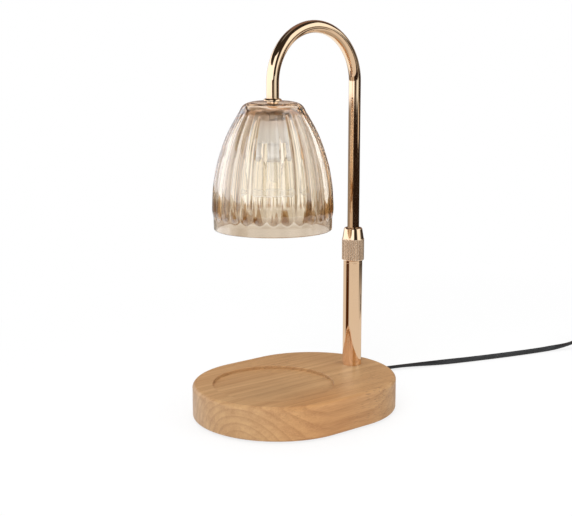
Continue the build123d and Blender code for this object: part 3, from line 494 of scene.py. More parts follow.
@dataclass(frozen=True)
class Lustre(Finish):
    """Blown glass under a thin lustre coat, whose tint changes from rim to crown and deepens with thickness; the dark
    rim band and copper crown are partly painted reflection.
    """

    # the dark rim band and the copper crown are glass tint and, in part, painted reflection of the wood and the room
    rim: Colour = (0.61, 0.515, 0.405)
    crown: Colour = (0.955, 0.83, 0.74)
    band: Limits = (0.183, 0.192)
    shoulder: Limits = (0.262, 0.280)
    # the two flanks, at the sides of the main view: where they lie, and how a painted edge shade sets in towards them
    flank: Pair = (0.767, -0.641)
    edge_shade_tint: Colour = (0.93, 0.85, 0.795)
    edge_shade_share: Limits = (0.55, 1.0, 0.0, 0.6)
    # painted reflection: brown flames at the foot of the ribs and dark arcs under the crown, standing in for what the
    # glass reflects and bends
    reflection_brown: Colour = (0.40, 0.23, 0.09)
    flames: Limits = (0.46, 0.68, 0.1835, 0.2070)
    flames_ragged: float = 0.003
    flames_by_flank: Limits = (0.78, 0.98, 0.0, 0.018)
    flame_edge: float = 0.0025
    flame_foot: Limits = (0.1842, 0.1875)
    arcs: Limits = (0.2752, 0.2785, 0.002)
    arcs_share: Limits = (0.36, 0.50, 0.25, 0.8)
    cells: float = 140.0
    cells_shape: Point = (1.0, 1.0, 0.3)
    round_rim: float = 105.0
    # slow clouds of a deeper tint, the coat, and waves from blowing
    cloud: float = 24.0
    cloud_shape: Point = (1.0, 1.0, 0.4)
    cloud_share: Limits = (0.35, 0.7, 0.0, 0.35)
    ior: float = 1.5
    coat_ior: float = 1.7
    coat_roughness: float = 0.02
    wave: float = 55.0
    waviness: float = 0.00005
    depth: Colour = (0.80, 0.58, 0.28)
    density: float = 26.0

    def surface(self, tree: Tree) -> Inputs:
        """Tint by height, partly painted reflection; painted edge shade towards the flanks; painted reflections as
        flames and arcs; cloudy changes in the tint, the coat, and waves from blowing.

        Args:
            tree: the material's nodes.

        Returns:
            Inputs of the surface shader.
        """
        at = tree.coords()
        height = tree.axes(at)[2]
        side = self.side(tree, at)
        # tint by height: dark rim band and copper crown, partly painted reflection
        tone = tree.mix(tree.fit(height, *self.band), solid(self.rim), solid(self.colour))
        tone = tree.mix(tree.fit(height, *self.shoulder), tone, solid(self.crown))
        # painted shade: a darker, rosier tint towards the flanks, where the glass is seen edge-on from the main view
        tone = tree.mix(tree.fit(side, *self.edge_shade_share), tone, solid(self.edge_shade_tint))
        # painted reflection: brown flames and arcs mixed into the glass tint
        tone = tree.mix(self.painted_reflections(tree, at, height, side), tone, solid(self.reflection_brown))
        deeper = tree.mix(1.0, tone, tone, "MULTIPLY")
        cloud = tree.noise(tree.place(at, self.cloud_shape), self.cloud, 2.0)
        return {
            "Base Color": tree.mix(tree.fit(cloud, *self.cloud_share), tone, deeper),
            "Transmission Weight": 1.0,
            "IOR": self.ior,
            "Coat Weight": 1.0,
            "Coat Roughness": self.coat_roughness,
            "Coat IOR": self.coat_ior,
            "Normal": tree.bump(tree.noise(at, self.wave, 1.0), self.waviness),
        }

    def side(self, tree: Tree, at: Socket) -> Socket:
        """How near a point lies to the middle of a flank.

        Args:
            tree: the material's nodes.
            at: the coordinates.

        Returns:
            One in the middle of either flank, nought halfway between them.
        """
        x, y, _ = tree.axes(tree.place(at, NO_HEIGHT, (-SHADE_AT[0], 0.0, 0.0)))
        sway = tree.plus(tree.times(x, self.flank[0]), tree.times(y, self.flank[1]))
        return tree.math("ABSOLUTE", tree.math("DIVIDE", sway, tree.distance(x, y)))

    def painted_reflections(self, tree: Tree, at: Socket, height: Socket, side: Socket) -> Socket:
        """Painted reflections: brown flames that rise from the foot of the ribs, longer on the flanks, and dark arcs
        under the crown.

        Args:
            tree: the material's nodes.
            at: the coordinates.
            height: the height above the table.
            side: how near the point lies to the middle of a flank.

        Returns:
            The share of the painted reflection colour.
        """
        cells = tree.noise(tree.place(at, self.cells_shape), self.cells, 3.0, 0.6)
        tips = tree.fit(tree.noise(tree.place(at, NO_HEIGHT), self.round_rim, 2.0, 0.6), *self.flames)
        tips = tree.plus(tips, tree.fit(cells, *MIDDLE, -self.flames_ragged, self.flames_ragged))
        tips = tree.plus(tips, tree.fit(side, *self.flames_by_flank))
        flames = tree.fit(tree.minus(tips, height), 0.0, self.flame_edge)
        flames = tree.times(flames, tree.fit(height, *self.flame_foot))
        arcs = tree.times(tree.window(height, *self.arcs), tree.fit(cells, *self.arcs_share))
        return tree.math("MAXIMUM", flames, arcs)

    def inside(self, tree: Tree) -> Inputs:
        """Absorption, so that the tint deepens with thickness."""
        return {"Volume": tree.add("VolumeAbsorption", {"Color": solid(self.depth), "Density": self.density})}


OAK = Wood("light_hardwood", "wood", (0.60, 0.38, 0.20), 0.42)
GOLD = Plated("polished_rose_gold", "gold_polished", (0.90, 0.635, 0.41), 0.05)
SATIN_GOLD = Plated("satin_rose_gold", "gold_satin", (0.94, 0.70, 0.50), 0.24, 0.00001)
# painted shade for the knurl grooves: a darker gold
GROOVE_SHADE_GOLD = Plated("groove_shaded_rose_gold", "gold_satin", (0.70, 0.50, 0.33), 0.34, 0.00001)
AMBER = Lustre("champagne_glass", "amber_glass", (0.998, 0.972, 0.905), 0.02)
CLEAR = Glass("clear_glass", "clear_glass", (0.98, 0.98, 0.97), 0.02)
SILVER = Glass("silvered_reflector", "bulb_mirror", (0.99, 0.97, 0.93), 0.10, clear=0.96, mottle=400.0, uneven=0.08,
               wave=500.0)
CERAMIC = Moulded("glazed_ceramic", "ceramic", (0.84, 0.86, 0.90), 0.6, 700.0, 0.00002, 0.05)
ZINC = Steel("zinc_plated_steel", "zinc_steel", (0.66, 0.66, 0.66), 0.34)
DULL_STEEL = Steel("passivated_steel", "zinc_steel", (0.90, 0.90, 0.90), 0.5)
BRASS = Steel("contact_brass", "contact_brass", (0.82, 0.62, 0.30), 0.28)
PVC = Moulded("black_cord_sheath", "black_cord", (0.012, 0.012, 0.013), 0.42, 1500.0, 0.00003, 0.6)
BLACK = Moulded("black_shell_plastic", "black_plastic", (0.014, 0.014, 0.015), 0.36, 2600.0, 0.00003, 0.5)
FOOT = Moulded("black_rubber", "foot_rubber", (0.025, 0.025, 0.026), 0.75, 1300.0, 0.00005, 0.5)
COVER = Moulded("black_cover_plastic", "cover_plastic", (0.020, 0.020, 0.021), 0.55, 1600.0, 0.00005, 0.4)
NYLON = Moulded("natural_nylon", "nylon", (0.72, 0.71, 0.65), 0.45, 1200.0, 0.00002, 0.1)
SILICONE = Moulded("pale_silicone", "silicone", (0.62, 0.60, 0.55), 0.5, 900.0, 0.00002, 0.1)
LEAD = Moulded("white_lead_sheath", "inner_lead", (0.74, 0.74, 0.71), 0.45, 900.0, 0.00002, 0.1)
BOARD = Moulded("green_board", "board_green", (0.03, 0.16, 0.06), 0.4, 1900.0, 0.00003, 0.3)
TIE = Moulded("black_tie", "tie_black", (0.02, 0.02, 0.02), 0.65, 1800.0, 0.00004, 0.4)

CAD_FINISHES: dict[Finish, tuple[str, ...]] = {
    FOOT: ("rubber_feet", "crook_grommet"),
    COVER: ("bottom_cover",),
    ZINC: ("cover_screws", "terminal_screws", "post_foot", "stud_washer", "stud_nut", "guide_clips", "crook_nipple",
           "holder_screws", "dimmer_screws"),
    DULL_STEEL: ("holder_bracket", "shade_lock_nut", "bulb_pins"),
    NYLON: ("terminal_block", "post_liner", "clamp_collet", "guide_bush", "dimmer_regulator"),
    LEAD: ("base_lead", "post_lead", "crook_lead"),
    GOLD: ("post_ferrule",),
    SILICONE: ("shade_gaskets",),
    CERAMIC: ("lamp_holder", "bulb_base"),
    BRASS: ("holder_contacts", "plug_blades"),
    CLEAR: ("bulb_capsule",),
    BLACK: ("dimmer_lower_shell", "dimmer_upper_shell", "dimmer_wheel", "plug_body"),
    PVC: ("dimmer_reliefs", "cord_relief"),
    BOARD: ("dimmer_board",),
    TIE: ("coil_tie",),
}


# ---- meshes ---------------------------------------------------------------------------------------
def extruded(bm: bmesh.types.BMesh, edges: Edges, rise: float = 0.0) -> tuple[Edges, Verts]:
    """Extrudes a chain of edges, straight up or down if at all.

    Args:
        bm: the mesh.
        edges: the chain.
        rise: how far up the new edges go.

    Returns:
        The new edges and the new vertices.
    """
    made = bmesh.ops.extrude_edge_only(bm, edges=edges)["geom"]
    verts = [v for v in made if isinstance(v, bmesh.types.BMVert)]
    if rise:
        bmesh.ops.translate(bm, verts=verts, vec=(0, 0, rise))
    return [e for e in made if isinstance(e, bmesh.types.BMEdge)], verts


def eased(share: float) -> float:
    """A share clamped to 0 to 1, with soft ends."""
    share = min(1.0, max(0.0, share))
    return share * share * (3 - 2 * share)


class Shape:
    """A mesh in the making, shaped with bmesh operators."""

    def __init__(self) -> None:
        """Starts empty."""
        self.bm = bmesh.new()

    def chain(self, corners: Sequence[Corner], closed: bool = False, segments: int = 5) -> None:
        """Draws a profile in the XZ plane.

        Args:
            corners: radius, height and rounding of each corner.
            closed: whether the last corner joins the first.
            segments: segments of a rounded corner.
        """
        verts = [self.bm.verts.new((r, 0.0, z)) for r, z, _ in corners]
        ring = verts + verts[:1] if closed else verts
        for a, b in zip(ring, ring[1:]):
            self.bm.edges.new((a, b))
        for vert, (_, _, rounding) in zip(verts, corners):
            if rounding > 0:
                bmesh.ops.bevel(self.bm, geom=[vert], offset=rounding, segments=segments, profile=0.5,
                                affect="VERTICES", offset_type="OFFSET", material=-1)

    def spin(self, at: Pair, steps: int) -> None:
        """Turns everything made so far once round a vertical axis, and closes seams and poles.

        Args:
            at: where the axis stands.
            steps: steps of the full turn.
        """
        bm = self.bm
        bmesh.ops.spin(bm, geom=list(bm.verts) + list(bm.edges), cent=(0, 0, 0), axis=(0, 0, 1), dvec=(0, 0, 0),
                       angle=TURN, steps=steps, use_merge=True, use_duplicate=False)
        bmesh.ops.remove_doubles(bm, verts=list(bm.verts), dist=1e-6)
        bmesh.ops.translate(bm, verts=list(bm.verts), vec=(at[0], at[1], 0.0))

    def sweep(self, path: Sequence[Vector], section: Sequence[Pair], twist: Callable[[float], float]) -> None:
        """Carries a closed section along a path whose side direction stays level until it is twisted.

        Args:
            path: points of the path.
            section: the outline, as sideways and upward offsets.
            twist: the section's turn in radians at a length along the path.
        """
        bm = self.bm
        travelled = 0.0
        ring: list[bmesh.types.BMVert] = []
        for i, here in enumerate(path):
            ahead = path[min(i + 1, len(path) - 1)] - path[max(i - 1, 0)]
            if i:
                travelled += (here - path[i - 1]).length
            forward = ahead.normalized()
            side = forward.cross(Vector((0, 0, 1))).normalized()
            over = side.cross(forward).normalized()
            turn = Matrix.Rotation(twist(travelled), 3, forward)
            places = [here + turn @ (side * a + over * b) for a, b in section]
            if not ring:
                ring = [bm.verts.new(p) for p in places]
                edges = [bm.edges.new(pair) for pair in zip(ring, ring[1:] + ring[:1])]
                bmesh.ops.contextual_create(bm, geom=edges)
                continue
            edges, fresh = extruded(bm, edges)
            ring = [next(e.other_vert(v) for e in v.link_edges if e.other_vert(v) in fresh) for v in ring]
            for vert, p in zip(ring, places):
                vert.co = p
        bmesh.ops.contextual_create(bm, geom=edges)
        bmesh.ops.recalc_face_normals(bm, faces=list(bm.faces))

    def piece(self, name: str, finish: Finish, body: str, replaces: Sequence[str] = (), sharp: float = 32.0,
              weighted: bool = True) -> bpy.types.Object:
        """Ends the mesh and makes it a piece of the lamp.

        Args:
            name: the piece's name.
            finish: its surface.
            body: the body that it rides on.
            replaces: nodes that it stands for.
            sharp: edges that turn by more than this angle in degrees stay sharp.
            weighted: whether large faces keep their own normals next to rounded edges.

        Returns:
            The new object.
        """
        bmesh.ops.recalc_face_normals(self.bm, faces=list(self.bm.faces))
        mesh = bpy.data.meshes.new(name)
        self.bm.to_mesh(mesh)
        self.bm.free()
        mesh.polygons.foreach_set("use_smooth", [True] * len(mesh.polygons))
        mesh.set_sharp_from_angle(angle=math.radians(sharp))
        mesh.materials.append(finish.material())
        made = bpy.data.objects.new(name, mesh)
        bpy.context.scene.collection.objects.link(made)
        if weighted:
            modifier = made.modifiers.new("even shading", "WEIGHTED_NORMAL")
            modifier.keep_sharp = True
        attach(made, body)
        if replaces:
            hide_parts(*replaces)
        log.info("%s: %d faces on %s", name, len(mesh.polygons), body)
        return made


def lathe(name: str, corners: Sequence[Corner], at: Pair, finish: Finish, body: str,
          replaces: Sequence[str] = (), steps: int = 96, closed: bool = True) -> bpy.types.Object:
    """A turned piece.

    Args:
        name: the piece's name.
        corners: radius, height and rounding of each corner of its profile.
        at: where its axis stands.
        finish: its surface.
        body: the body that it rides on.
        replaces: nodes that it stands for.
        steps: steps round the axis.
        closed: whether the profile closes on itself, as on a ring.

    Returns:
        The piece.
    """
    shape = Shape()
    shape.chain(corners, closed)
    shape.spin(at, steps)
    return shape.piece(name, finish, body, replaces)


def smooth_line(points: Sequence[Pair], step: float) -> list[Pair]:
    """Points along a smooth curve through some others.

    Args:
        points: what it passes through.
        step: about how far apart the new points are.

    Returns:
        The finer chain of points.
    """
    line = [Vector((*p, 0.0)) for p in points]
    ends = [line[0] * 2 - line[1], *line, line[-1] * 2 - line[-2]]
    found: list[Pair] = []
    for a, b, c, d in zip(ends, ends[1:], ends[2:], ends[3:]):
        count = max(1, round((c - b).length / step))
        for i in range(count):
            t = i / count
            p = b * 2 + (c - a) * t + (a * 2 - b * 5 + c * 4 - d) * t**2 + (b * 3 - a - c * 3 + d) * t**3
            found.append((p.x / 2, p.y / 2))
    return [*found, tuple(points[-1])]


# ---- base -----------------------------------------------------------------------------------------
@dataclass
class Base:
    """Oval wood block with a candle recess on top and a covered wiring cavity underneath."""

    half_length: float = 0.099
    half_width: float = 0.078
    low: float = 0.0015
    high: float = 0.032
    top_round: float = 0.004
    bottom_round: float = 0.002
    recess_radius: float = 0.055
    recess_floor: float = 0.029
    recess_round: float = 0.0008
    cavity_x: float = 0.058
    cover_radius: float = 0.0343
    cover_top: float = 0.0035
    cavity_radius: float = 0.028
    cavity_top: float = 0.0195
    steps: int = 144

    def loop(self, bm: bmesh.types.BMesh, radius: float, x: float, z: float) -> Edges:
        """Makes a round edge loop about a point over the X axis.

        Args:
            bm: the mesh.
            radius: the loop's radius.
            x: the X of its middle.
            z: its height.

        Returns:
            The loop's edges.
        """
        place = Matrix.Translation((x, 0.0, z)) @ Matrix.Rotation(math.pi / self.steps, 4, "Z")
        made = bmesh.ops.create_circle(bm, segments=self.steps, radius=radius, matrix=place)["verts"]
        return list({e for v in made for e in v.link_edges})

    @staticmethod
    def step_in(bm: bmesh.types.BMesh, edges: Edges, x: float, radius: float, z: float) -> Edges:
        """Extrudes a round loop to another radius and height.

        Args:
            bm: the mesh.
            edges: the loop.
            x: the X of its middle.
            radius: the new radius.
            z: the new height.

        Returns:
            The new loop's edges.
        """
        edges, verts = extruded(bm, edges)
        for vert in verts:
            out = Vector((vert.co.x - x, vert.co.y)).normalized() * radius
            vert.co = (x + out.x, out.y, z)
        return edges

    def build(self) -> bpy.types.Object:
        """Extrudes the outline, bridges it to the recess and the cavity, and rounds the edges.

        Returns:
            The wood block.
        """
        shape = Shape()
        bm = shape.bm
        bottom = self.loop(bm, self.half_width, 0.0, self.low)
        straight = self.half_length - self.half_width
        for vert in {v for e in bottom for v in e.verts}:
            vert.co.x += math.copysign(straight, vert.co.x)
        top, _ = extruded(bm, bottom, self.high - self.low)
        rim = self.loop(bm, self.recess_radius, SHADE_AT[0], self.high)
        bmesh.ops.bridge_loops(bm, edges=top + rim)
        floor = self.step_in(bm, rim, SHADE_AT[0], self.recess_radius, self.recess_floor)
        bmesh.ops.contextual_create(bm, geom=floor)
        edges = self.loop(bm, self.cover_radius, self.cavity_x, self.low)
        bmesh.ops.bridge_loops(bm, edges=bottom + edges)
        for radius, z in ((self.cover_radius, self.cover_top), (self.cavity_radius, self.cover_top),
                          (self.cavity_radius, self.cavity_top)):
            edges = self.step_in(bm, edges, self.cavity_x, radius, z)
        bmesh.ops.contextual_create(bm, geom=edges)
        for edges, rounding, segments in ((top, self.top_round, 8), (bottom, self.bottom_round, 5),
                                          (rim, self.recess_round, 4)):
            bmesh.ops.bevel(bm, geom=edges, offset=rounding, segments=segments, profile=0.5, affect="EDGES",
                            material=-1)
        return shape.piece("oval_block", OAK, "base", ["wood_base"])


# ---- post and crook -------------------------------------------------------------------------------
@dataclass
class Post:
    """Fixed outer tube with the clamp nut on top."""

    # the rounding of the edges
    edge: float = 0.0002
    radius: float = 0.009
    bore: float = 0.008
    low: float = 0.032
    high: float = 0.132
    nut_low: float = 0.1343
    nut_knurled: float = 0.0205
    nut_nose: float = 0.0105
    nut_radius: float = 0.0105
    nose_radius: float = 0.0082
    nut_bore: float = 0.0066
    nut_mouth: float = 0.0087
    # the plain land at either end of the knurls, their number and depth, and how deep the painted shade in the knurl
    # grooves reaches
    land: float = 0.0012
    knurls: int = 30
    knurl_depth: float = 0.00050
    steps_per_knurl: int = 8
    groove_shade_share: float = 0.55

    def build(self) -> None:
        """Turns the tube and the nut."""
        lathe("post_sleeve", [
            (self.bore, self.low, 0), (self.radius, self.low, self.edge), (self.radius, self.high, self.edge),
            (self.bore, self.high, 0),
        ], POST_AT, GOLD, "base", ["post_tube"])
        self.nut()

    def nut(self) -> bpy.types.Object:
        """Makes the satin knurled sleeve below a polished cone.

        Returns:
            The nut, as one mesh whose sleeve and cone have surfaces of their own, and whose knurl grooves carry a
            darker gold as painted shade.
        """
        low = self.nut_low
        top = low + self.nut_knurled
        tip = top + self.nut_nose
        full, nose, land, edge = self.nut_radius, self.nose_radius, self.land, self.edge
        shape = Shape()
        shape.chain([
            (self.nut_mouth, low, 0), (full - 2 * edge, low, edge), (full, low + 3 * edge, edge),
            (full, low + land, 0), (full, top - land, 0), (full, top - 1.5 * edge, edge), (full - edge, top, 0),
            (full - 2 * edge, top, 0), (nose + 2 * edge, tip - 0.001, 0.0005), (nose - 0.0005, tip, 0.0003),
            (self.nut_bore, tip, 0.0001), (self.nut_bore, tip - 0.004, 0), (self.nut_mouth, low + 0.012, 0),
        ], closed=True)
        shape.spin((0.0, 0.0), self.knurls * self.steps_per_knurl)
        for vert in shape.bm.verts:
            if low + land * 0.9 < vert.co.z < top - land * 0.9 and vert.co.xy.length > full - 0.0001:
                turn = math.atan2(vert.co.y, vert.co.x) / TURN * self.knurls
                cut = self.knurl_depth * (0.5 + 0.5 * math.cos(TURN * turn)) ** 2
                vert.co.xy *= 1 - cut / full
        bmesh.ops.translate(shape.bm, verts=list(shape.bm.verts), vec=(*POST_AT, 0))
        nut = shape.piece("clamp_collar", SATIN_GOLD, "clamp_nut", ["clamp_nut"], sharp=40.0)
        nut.data.materials.append(GOLD.material())
        nut.data.materials.append(GROOVE_SHADE_GOLD.material())
        # painted shade: faces down in the knurl grooves take the darker gold
        shade_below = full - self.knurl_depth * self.groove_shade_share
        for face in nut.data.polygons:
            away = (face.center.xy - Vector(POST_AT)).length
            groove_shaded = low + land < face.center.z < top - land and full - 0.001 < away < shade_below
            face.material_index = 1 if face.center.z > top - 0.00005 else 2 if groove_shaded else 0
        return nut


@dataclass
class Crook:
    """Inner tube bent over in a half circle, with the rounded ring that meets the glass.

    The ring's corners are radius, height and rounding. The tube is drawn in by a hair, which keeps its top inside
    the solid's.
    """

    radius: float = 0.0056
    low: float = 0.092
    bend_z: float = 0.3015
    end_z: float = 0.2866
    ring: tuple[Corner, ...] = (
        (0.0052, 0.2837, 0), (0.0077, 0.2837, 0.0003), (0.0081, 0.2845, 0.0004), (0.0081, 0.2871, 0.0007),
        (0.0069, 0.2884, 0.0007), (0.0057, 0.2884, 0), (0.0057, 0.2878, 0), (0.0052, 0.2878, 0),
    )
    inset: float = 0.00004
    sides: int = 72
    bend_steps: int = 90

    def build(self) -> None:
        """Extrudes, spins and extrudes a circle for the tube, and turns the ring."""
        shape = Shape()
        bm = shape.bm
        place = Matrix.Translation((POST_AT[0], 0.0, self.low))
        bmesh.ops.create_circle(bm, cap_ends=True, segments=self.sides, radius=self.radius - self.inset, matrix=place)
        edges, verts = extruded(bm, list(bm.edges), self.bend_z - self.low)
        middle = (POST_AT[0] + SHADE_AT[0]) / 2
        made = bmesh.ops.spin(bm, geom=[*verts, *edges], cent=(middle, 0, self.bend_z), axis=(0, -1, 0),
                              dvec=(0, 0, 0), angle=math.pi, steps=self.bend_steps)["geom_last"]
        bent = [e for e in made if isinstance(e, bmesh.types.BMEdge)]
        edges, _ = extruded(bm, bent, self.end_z - self.bend_z)
        bmesh.ops.contextual_create(bm, geom=edges)
        shape.piece("crook_bend", GOLD, "crook", ["crook_tube"])
        lathe("neck_ring_turned", self.ring, SHADE_AT, GOLD, "crook", ["neck_ring"])


# ---- shade ----------------------------------------------------------------------------------------
@dataclass
class Shade:
    """Blown bell with convex ribs that end in rounded tips above a plain rim band."""

    rim_z: float = 0.1734
    top_z: float = 0.2848
    wall: float = 0.0024
    top_wall: float = 0.0034
    hole: float = 0.0053
    ribs: int = 28
    rib_height: float = 0.0014
    ribs_low: float = 0.1840
    ribs_high: float = 0.2765
    # the length of a rib's tip below and above, in half widths of the rib, and the radius from which it is full
    tip: float = 1.5
    upper_tip: float = 1.2
    full_radius: float = 0.045
    rim_round: float = 0.0009
    steps_per_rib: int = 12
    step: float = 0.0014
    step_inside: float = 0.0035
    valley: tuple[Pair, ...] = (
        (0.05225, 0.1734), (0.05245, 0.1790), (0.05250, 0.1845), (0.05240, 0.1910), (0.05215, 0.1980),
        (0.05125, 0.2115), (0.04895, 0.2258), (0.04720, 0.2332), (0.04525, 0.2397), (0.04310, 0.2465),
        (0.04070, 0.2530), (0.03825, 0.2588), (0.03556, 0.2642), (0.03330, 0.2683), (0.03120, 0.2720),
        (0.02943, 0.2761), (0.02820, 0.2790), (0.02666, 0.2815), (0.02440, 0.2835), (0.02150, 0.2848),
        (0.01550, 0.2861), (0.00920, 0.2866),
    )
    well: float = 0.0092
    well_floor: float = 0.2832
    inside_turn: tuple[Pair, ...] = ((0.0255, -0.0036), (0.0200, 0.0))

    def build(self) -> bpy.types.Object:
        """Spins outer and inner line as one closed profile, then raises the ribs.

        Returns:
            The glass.
        """
        outer = smooth_line(self.valley, self.step)
        under = self.top_z - self.top_wall
        inner_line = [(r - self.wall, z) for r, z in self.valley if z < under - 0.009]
        inner_line += [(r, under + drop) for r, drop in self.inside_turn]
        inner = smooth_line(inner_line, self.step_inside)
        corners = [(r, z, 0.0) for r, z in outer[1:]]
        corners += [(self.well, self.well_floor, 0.0), (self.hole, self.well_floor, 0.0), (self.hole, under, 0.0)]
        corners += [(r, z, 0.0) for r, z in reversed(inner[1:])]
        rim = self.valley[0][0]
        corners += [(r, self.rim_z, self.rim_round) for r in (rim - self.wall, rim)]
        shape = Shape()
        shape.chain(corners, closed=True)
        shape.spin((0.0, 0.0), self.ribs * self.steps_per_rib)
        for vert in shape.bm.verts:
            radius = vert.co.xy.length
            if self.ribs_low < vert.co.z < self.ribs_high and radius > self.outline(outer, vert.co.z) - 0.0004:
                vert.co.xy *= 1 + self.rise(vert.co, radius) / radius
        bmesh.ops.translate(shape.bm, verts=list(shape.bm.verts), vec=(*SHADE_AT, 0))
        return shape.piece("fluted_bell", AMBER, "crook", ["glass_shade"], sharp=50.0, weighted=False)

    @staticmethod
    def outline(line: Sequence[Pair], z: float) -> float:
        """Reads the radius of the plain outer surface at a height.

        Args:
            line: radius and height along the surface.
            z: the height.

        Returns:
            The radius.
        """
        for (r0, z0), (r1, z1) in zip(line, line[1:]):
            if z0 <= z <= z1:
                return r0 + (r1 - r0) * (z - z0) / max(z1 - z0, 1e-9)
        return line[-1][0]

    def rise(self, at: Vector, radius: float) -> float:
        """How far the glass stands out at a point: a shallow arc across each rib, domed at both ends.

        Args:
            at: the point, with the bell's axis at the origin.
            radius: its distance from the axis.

        Returns:
            The height of the rib there.
        """
        turn = math.atan2(at.y, at.x) / TURN * self.ribs
        across = 2 * abs(turn - round(turn))
        half = math.pi * radius / self.ribs
        into_low = max(0.0, 1 - (at.z - self.ribs_low) / (half * self.tip))
        into_high = max(0.0, 1 - (self.ribs_high - at.z) / (half * self.upper_tip))
        away = across**2 + max(into_low, into_high) ** 2
        return self.rib_height * min(1.0, radius / self.full_radius) * max(0.0, 1 - away)


# ---- bulb -----------------------------------------------------------------------------------------
@dataclass
class Bulb:
    """Pressed-glass reflector with facets inside, and its front glass."""

    radius: float = 0.025
    low: float = 0.2031
    lens: float = 0.003
    neck: float = 0.0107
    neck_z: float = 0.2366
    glass: float = 0.0012
    bowl: tuple[Pair, ...] = ((0.025, 0.0015), (0.0236, 0.0095), (0.0206, 0.0172), (0.0152, 0.0258))
    facets: int = 30
    steps_per_facet: int = 3
    dent: float = 0.0003
    front: tuple[Corner, ...] = (
        (0, 0, 0), (0.0125, 0.0003, 0.002), (0.0236, 0.0013, 0.0005), (0.025, 0.0021, 0.0006), (0.025, 0.003, 0.0002),
        (0, 0.003, 0),
    )

    def build(self) -> None:
        """Turns the reflector and the lens."""
        rim_z = self.low + self.lens
        bowl = [(r, rim_z + up) for r, up in self.bowl]
        outer = smooth_line([*bowl, (self.neck + self.glass, self.neck_z)], 0.0016)
        corners = [(r, z, 0.0) for r, z in outer]
        corners += [(r - self.glass, z, 0.0) for r, z in reversed(outer)]
        corners += [(self.radius - self.glass, rim_z + 0.00005, 0.0), (self.radius, rim_z + 0.00005, 0.0)]
        shape = Shape()
        shape.chain(corners, closed=True)
        shape.spin(SHADE_AT, self.facets * self.steps_per_facet)
        for vert in shape.bm.verts:
            out = Vector((vert.co.x - SHADE_AT[0], vert.co.y))
            turn = math.atan2(out.y, out.x) / TURN * self.facets
            dent = self.dent * (1 - (2 * abs(turn - round(turn))) ** 2)
            if vert.co.z > rim_z + 0.002 and out.length < self.outer_radius(outer, vert.co.z) - 0.0006:
                out *= 1 + dent / out.length
                vert.co.xy = (SHADE_AT[0] + out.x, out.y)
        shape.piece("reflector_bowl", SILVER, "bulb", ["bulb_reflector"], sharp=60.0, weighted=False)
        front = [(r, self.low + up, rounding) for r, up, rounding in self.front]
        lathe("front_lens", front, SHADE_AT, CLEAR, "bulb", ["bulb_lens"], closed=False)

    @staticmethod
    def outer_radius(line: Sequence[Pair], z: float) -> float:
        """Radius of the reflector's outside at a height."""
        return min(line, key=lambda p: abs(p[1] - z))[0]


# ---- cord -----------------------------------------------------------------------------------------
@dataclass
class Stretch:
    """One length of flat two-core cord.

    The route's points are the control points of one NURBS spline. Each turn is a length along the cord and the
    section's turn there in degrees.
    """

    name: str
    route: Sequence[Point]
    turns: Sequence[Pair]
    width: float = 0.0056
    thickness: float = 0.0030
    # the section: its corners, how deep and wide the waist between the cores is, and how full each core is
    sides: int = 24
    waist: float = 0.30
    waist_width: float = 0.00075
    fullness: float = 0.8

    def path(self) -> list[Vector]:
        """Reads points from the route's NURBS spline.

        Returns:
            The points in order, each once.
        """
        curve = bpy.data.curves.new(self.name + "_route", "CURVE")
        curve.dimensions = "3D"
        curve.resolution_u = 5
        spline = curve.splines.new("NURBS")
        spline.points.add(len(self.route) - 1)
        for point, at in zip(spline.points, self.route):
            point.co = (*at, 1.0)
        spline.order_u = 3
        spline.use_endpoint_u = True
        holder = bpy.data.objects.new(self.name + "_route", curve)
        mesh = bpy.data.meshes.new_from_object(holder)
        points = [v.co.copy() for v in mesh.vertices]
        bpy.data.meshes.remove(mesh)
        bpy.data.objects.remove(holder)
        bpy.data.curves.remove(curve)
        return [p for p, before in zip(points, [None, *points]) if before is None or (p - before).length > 1e-6]

    def outline(self) -> list[Pair]:
        """Draws the section: two round cores joined by a narrow web.

        Returns:
            Sideways and upward offsets.
        """
        points = []
        for i in range(self.sides):
            turn = TURN * i / self.sides
            side = self.width / 2 * math.cos(turn)
            waist = 1 - self.waist * math.exp(-((side / self.waist_width) ** 2))
            lobe = abs(math.sin(turn)) ** self.fullness * math.copysign(1, math.sin(turn))
            points.append((side, self.thickness / 2 * lobe * waist if i % (self.sides // 2) else 0.0))
        return points

    def twist(self, travelled: float) -> float:
        """Turn of the section, eased between the given places.

        Args:
            travelled: the length along the cord.

        Returns:
            The turn in radians.
        """
        before = self.turns[0]
        for place, angle in self.turns:
            if travelled <= place:
                share = eased((travelled - before[0]) / max(place - before[0], 1e-9))
                return math.radians(before[1] + (angle - before[1]) * share)
            before = (place, angle)
        return math.radians(before[1])

    def build(self, replaces: Sequence[str]) -> tuple[bpy.types.Object, list[Vector]]:
        """Makes the mesh.

        Args:
            replaces: the nodes that it stands for.

        Returns:
            The cord and the points that it follows.
        """
        path = self.path()
        shape = Shape()
        shape.sweep(path, self.outline(), self.twist)
        length = sum((b - a).length for a, b in zip(path, path[1:]))
        log.info("%s: %.4f m along its line", self.name, length)
        return shape.piece(self.name, PVC, "base", replaces, sharp=60.0, weighted=False), path


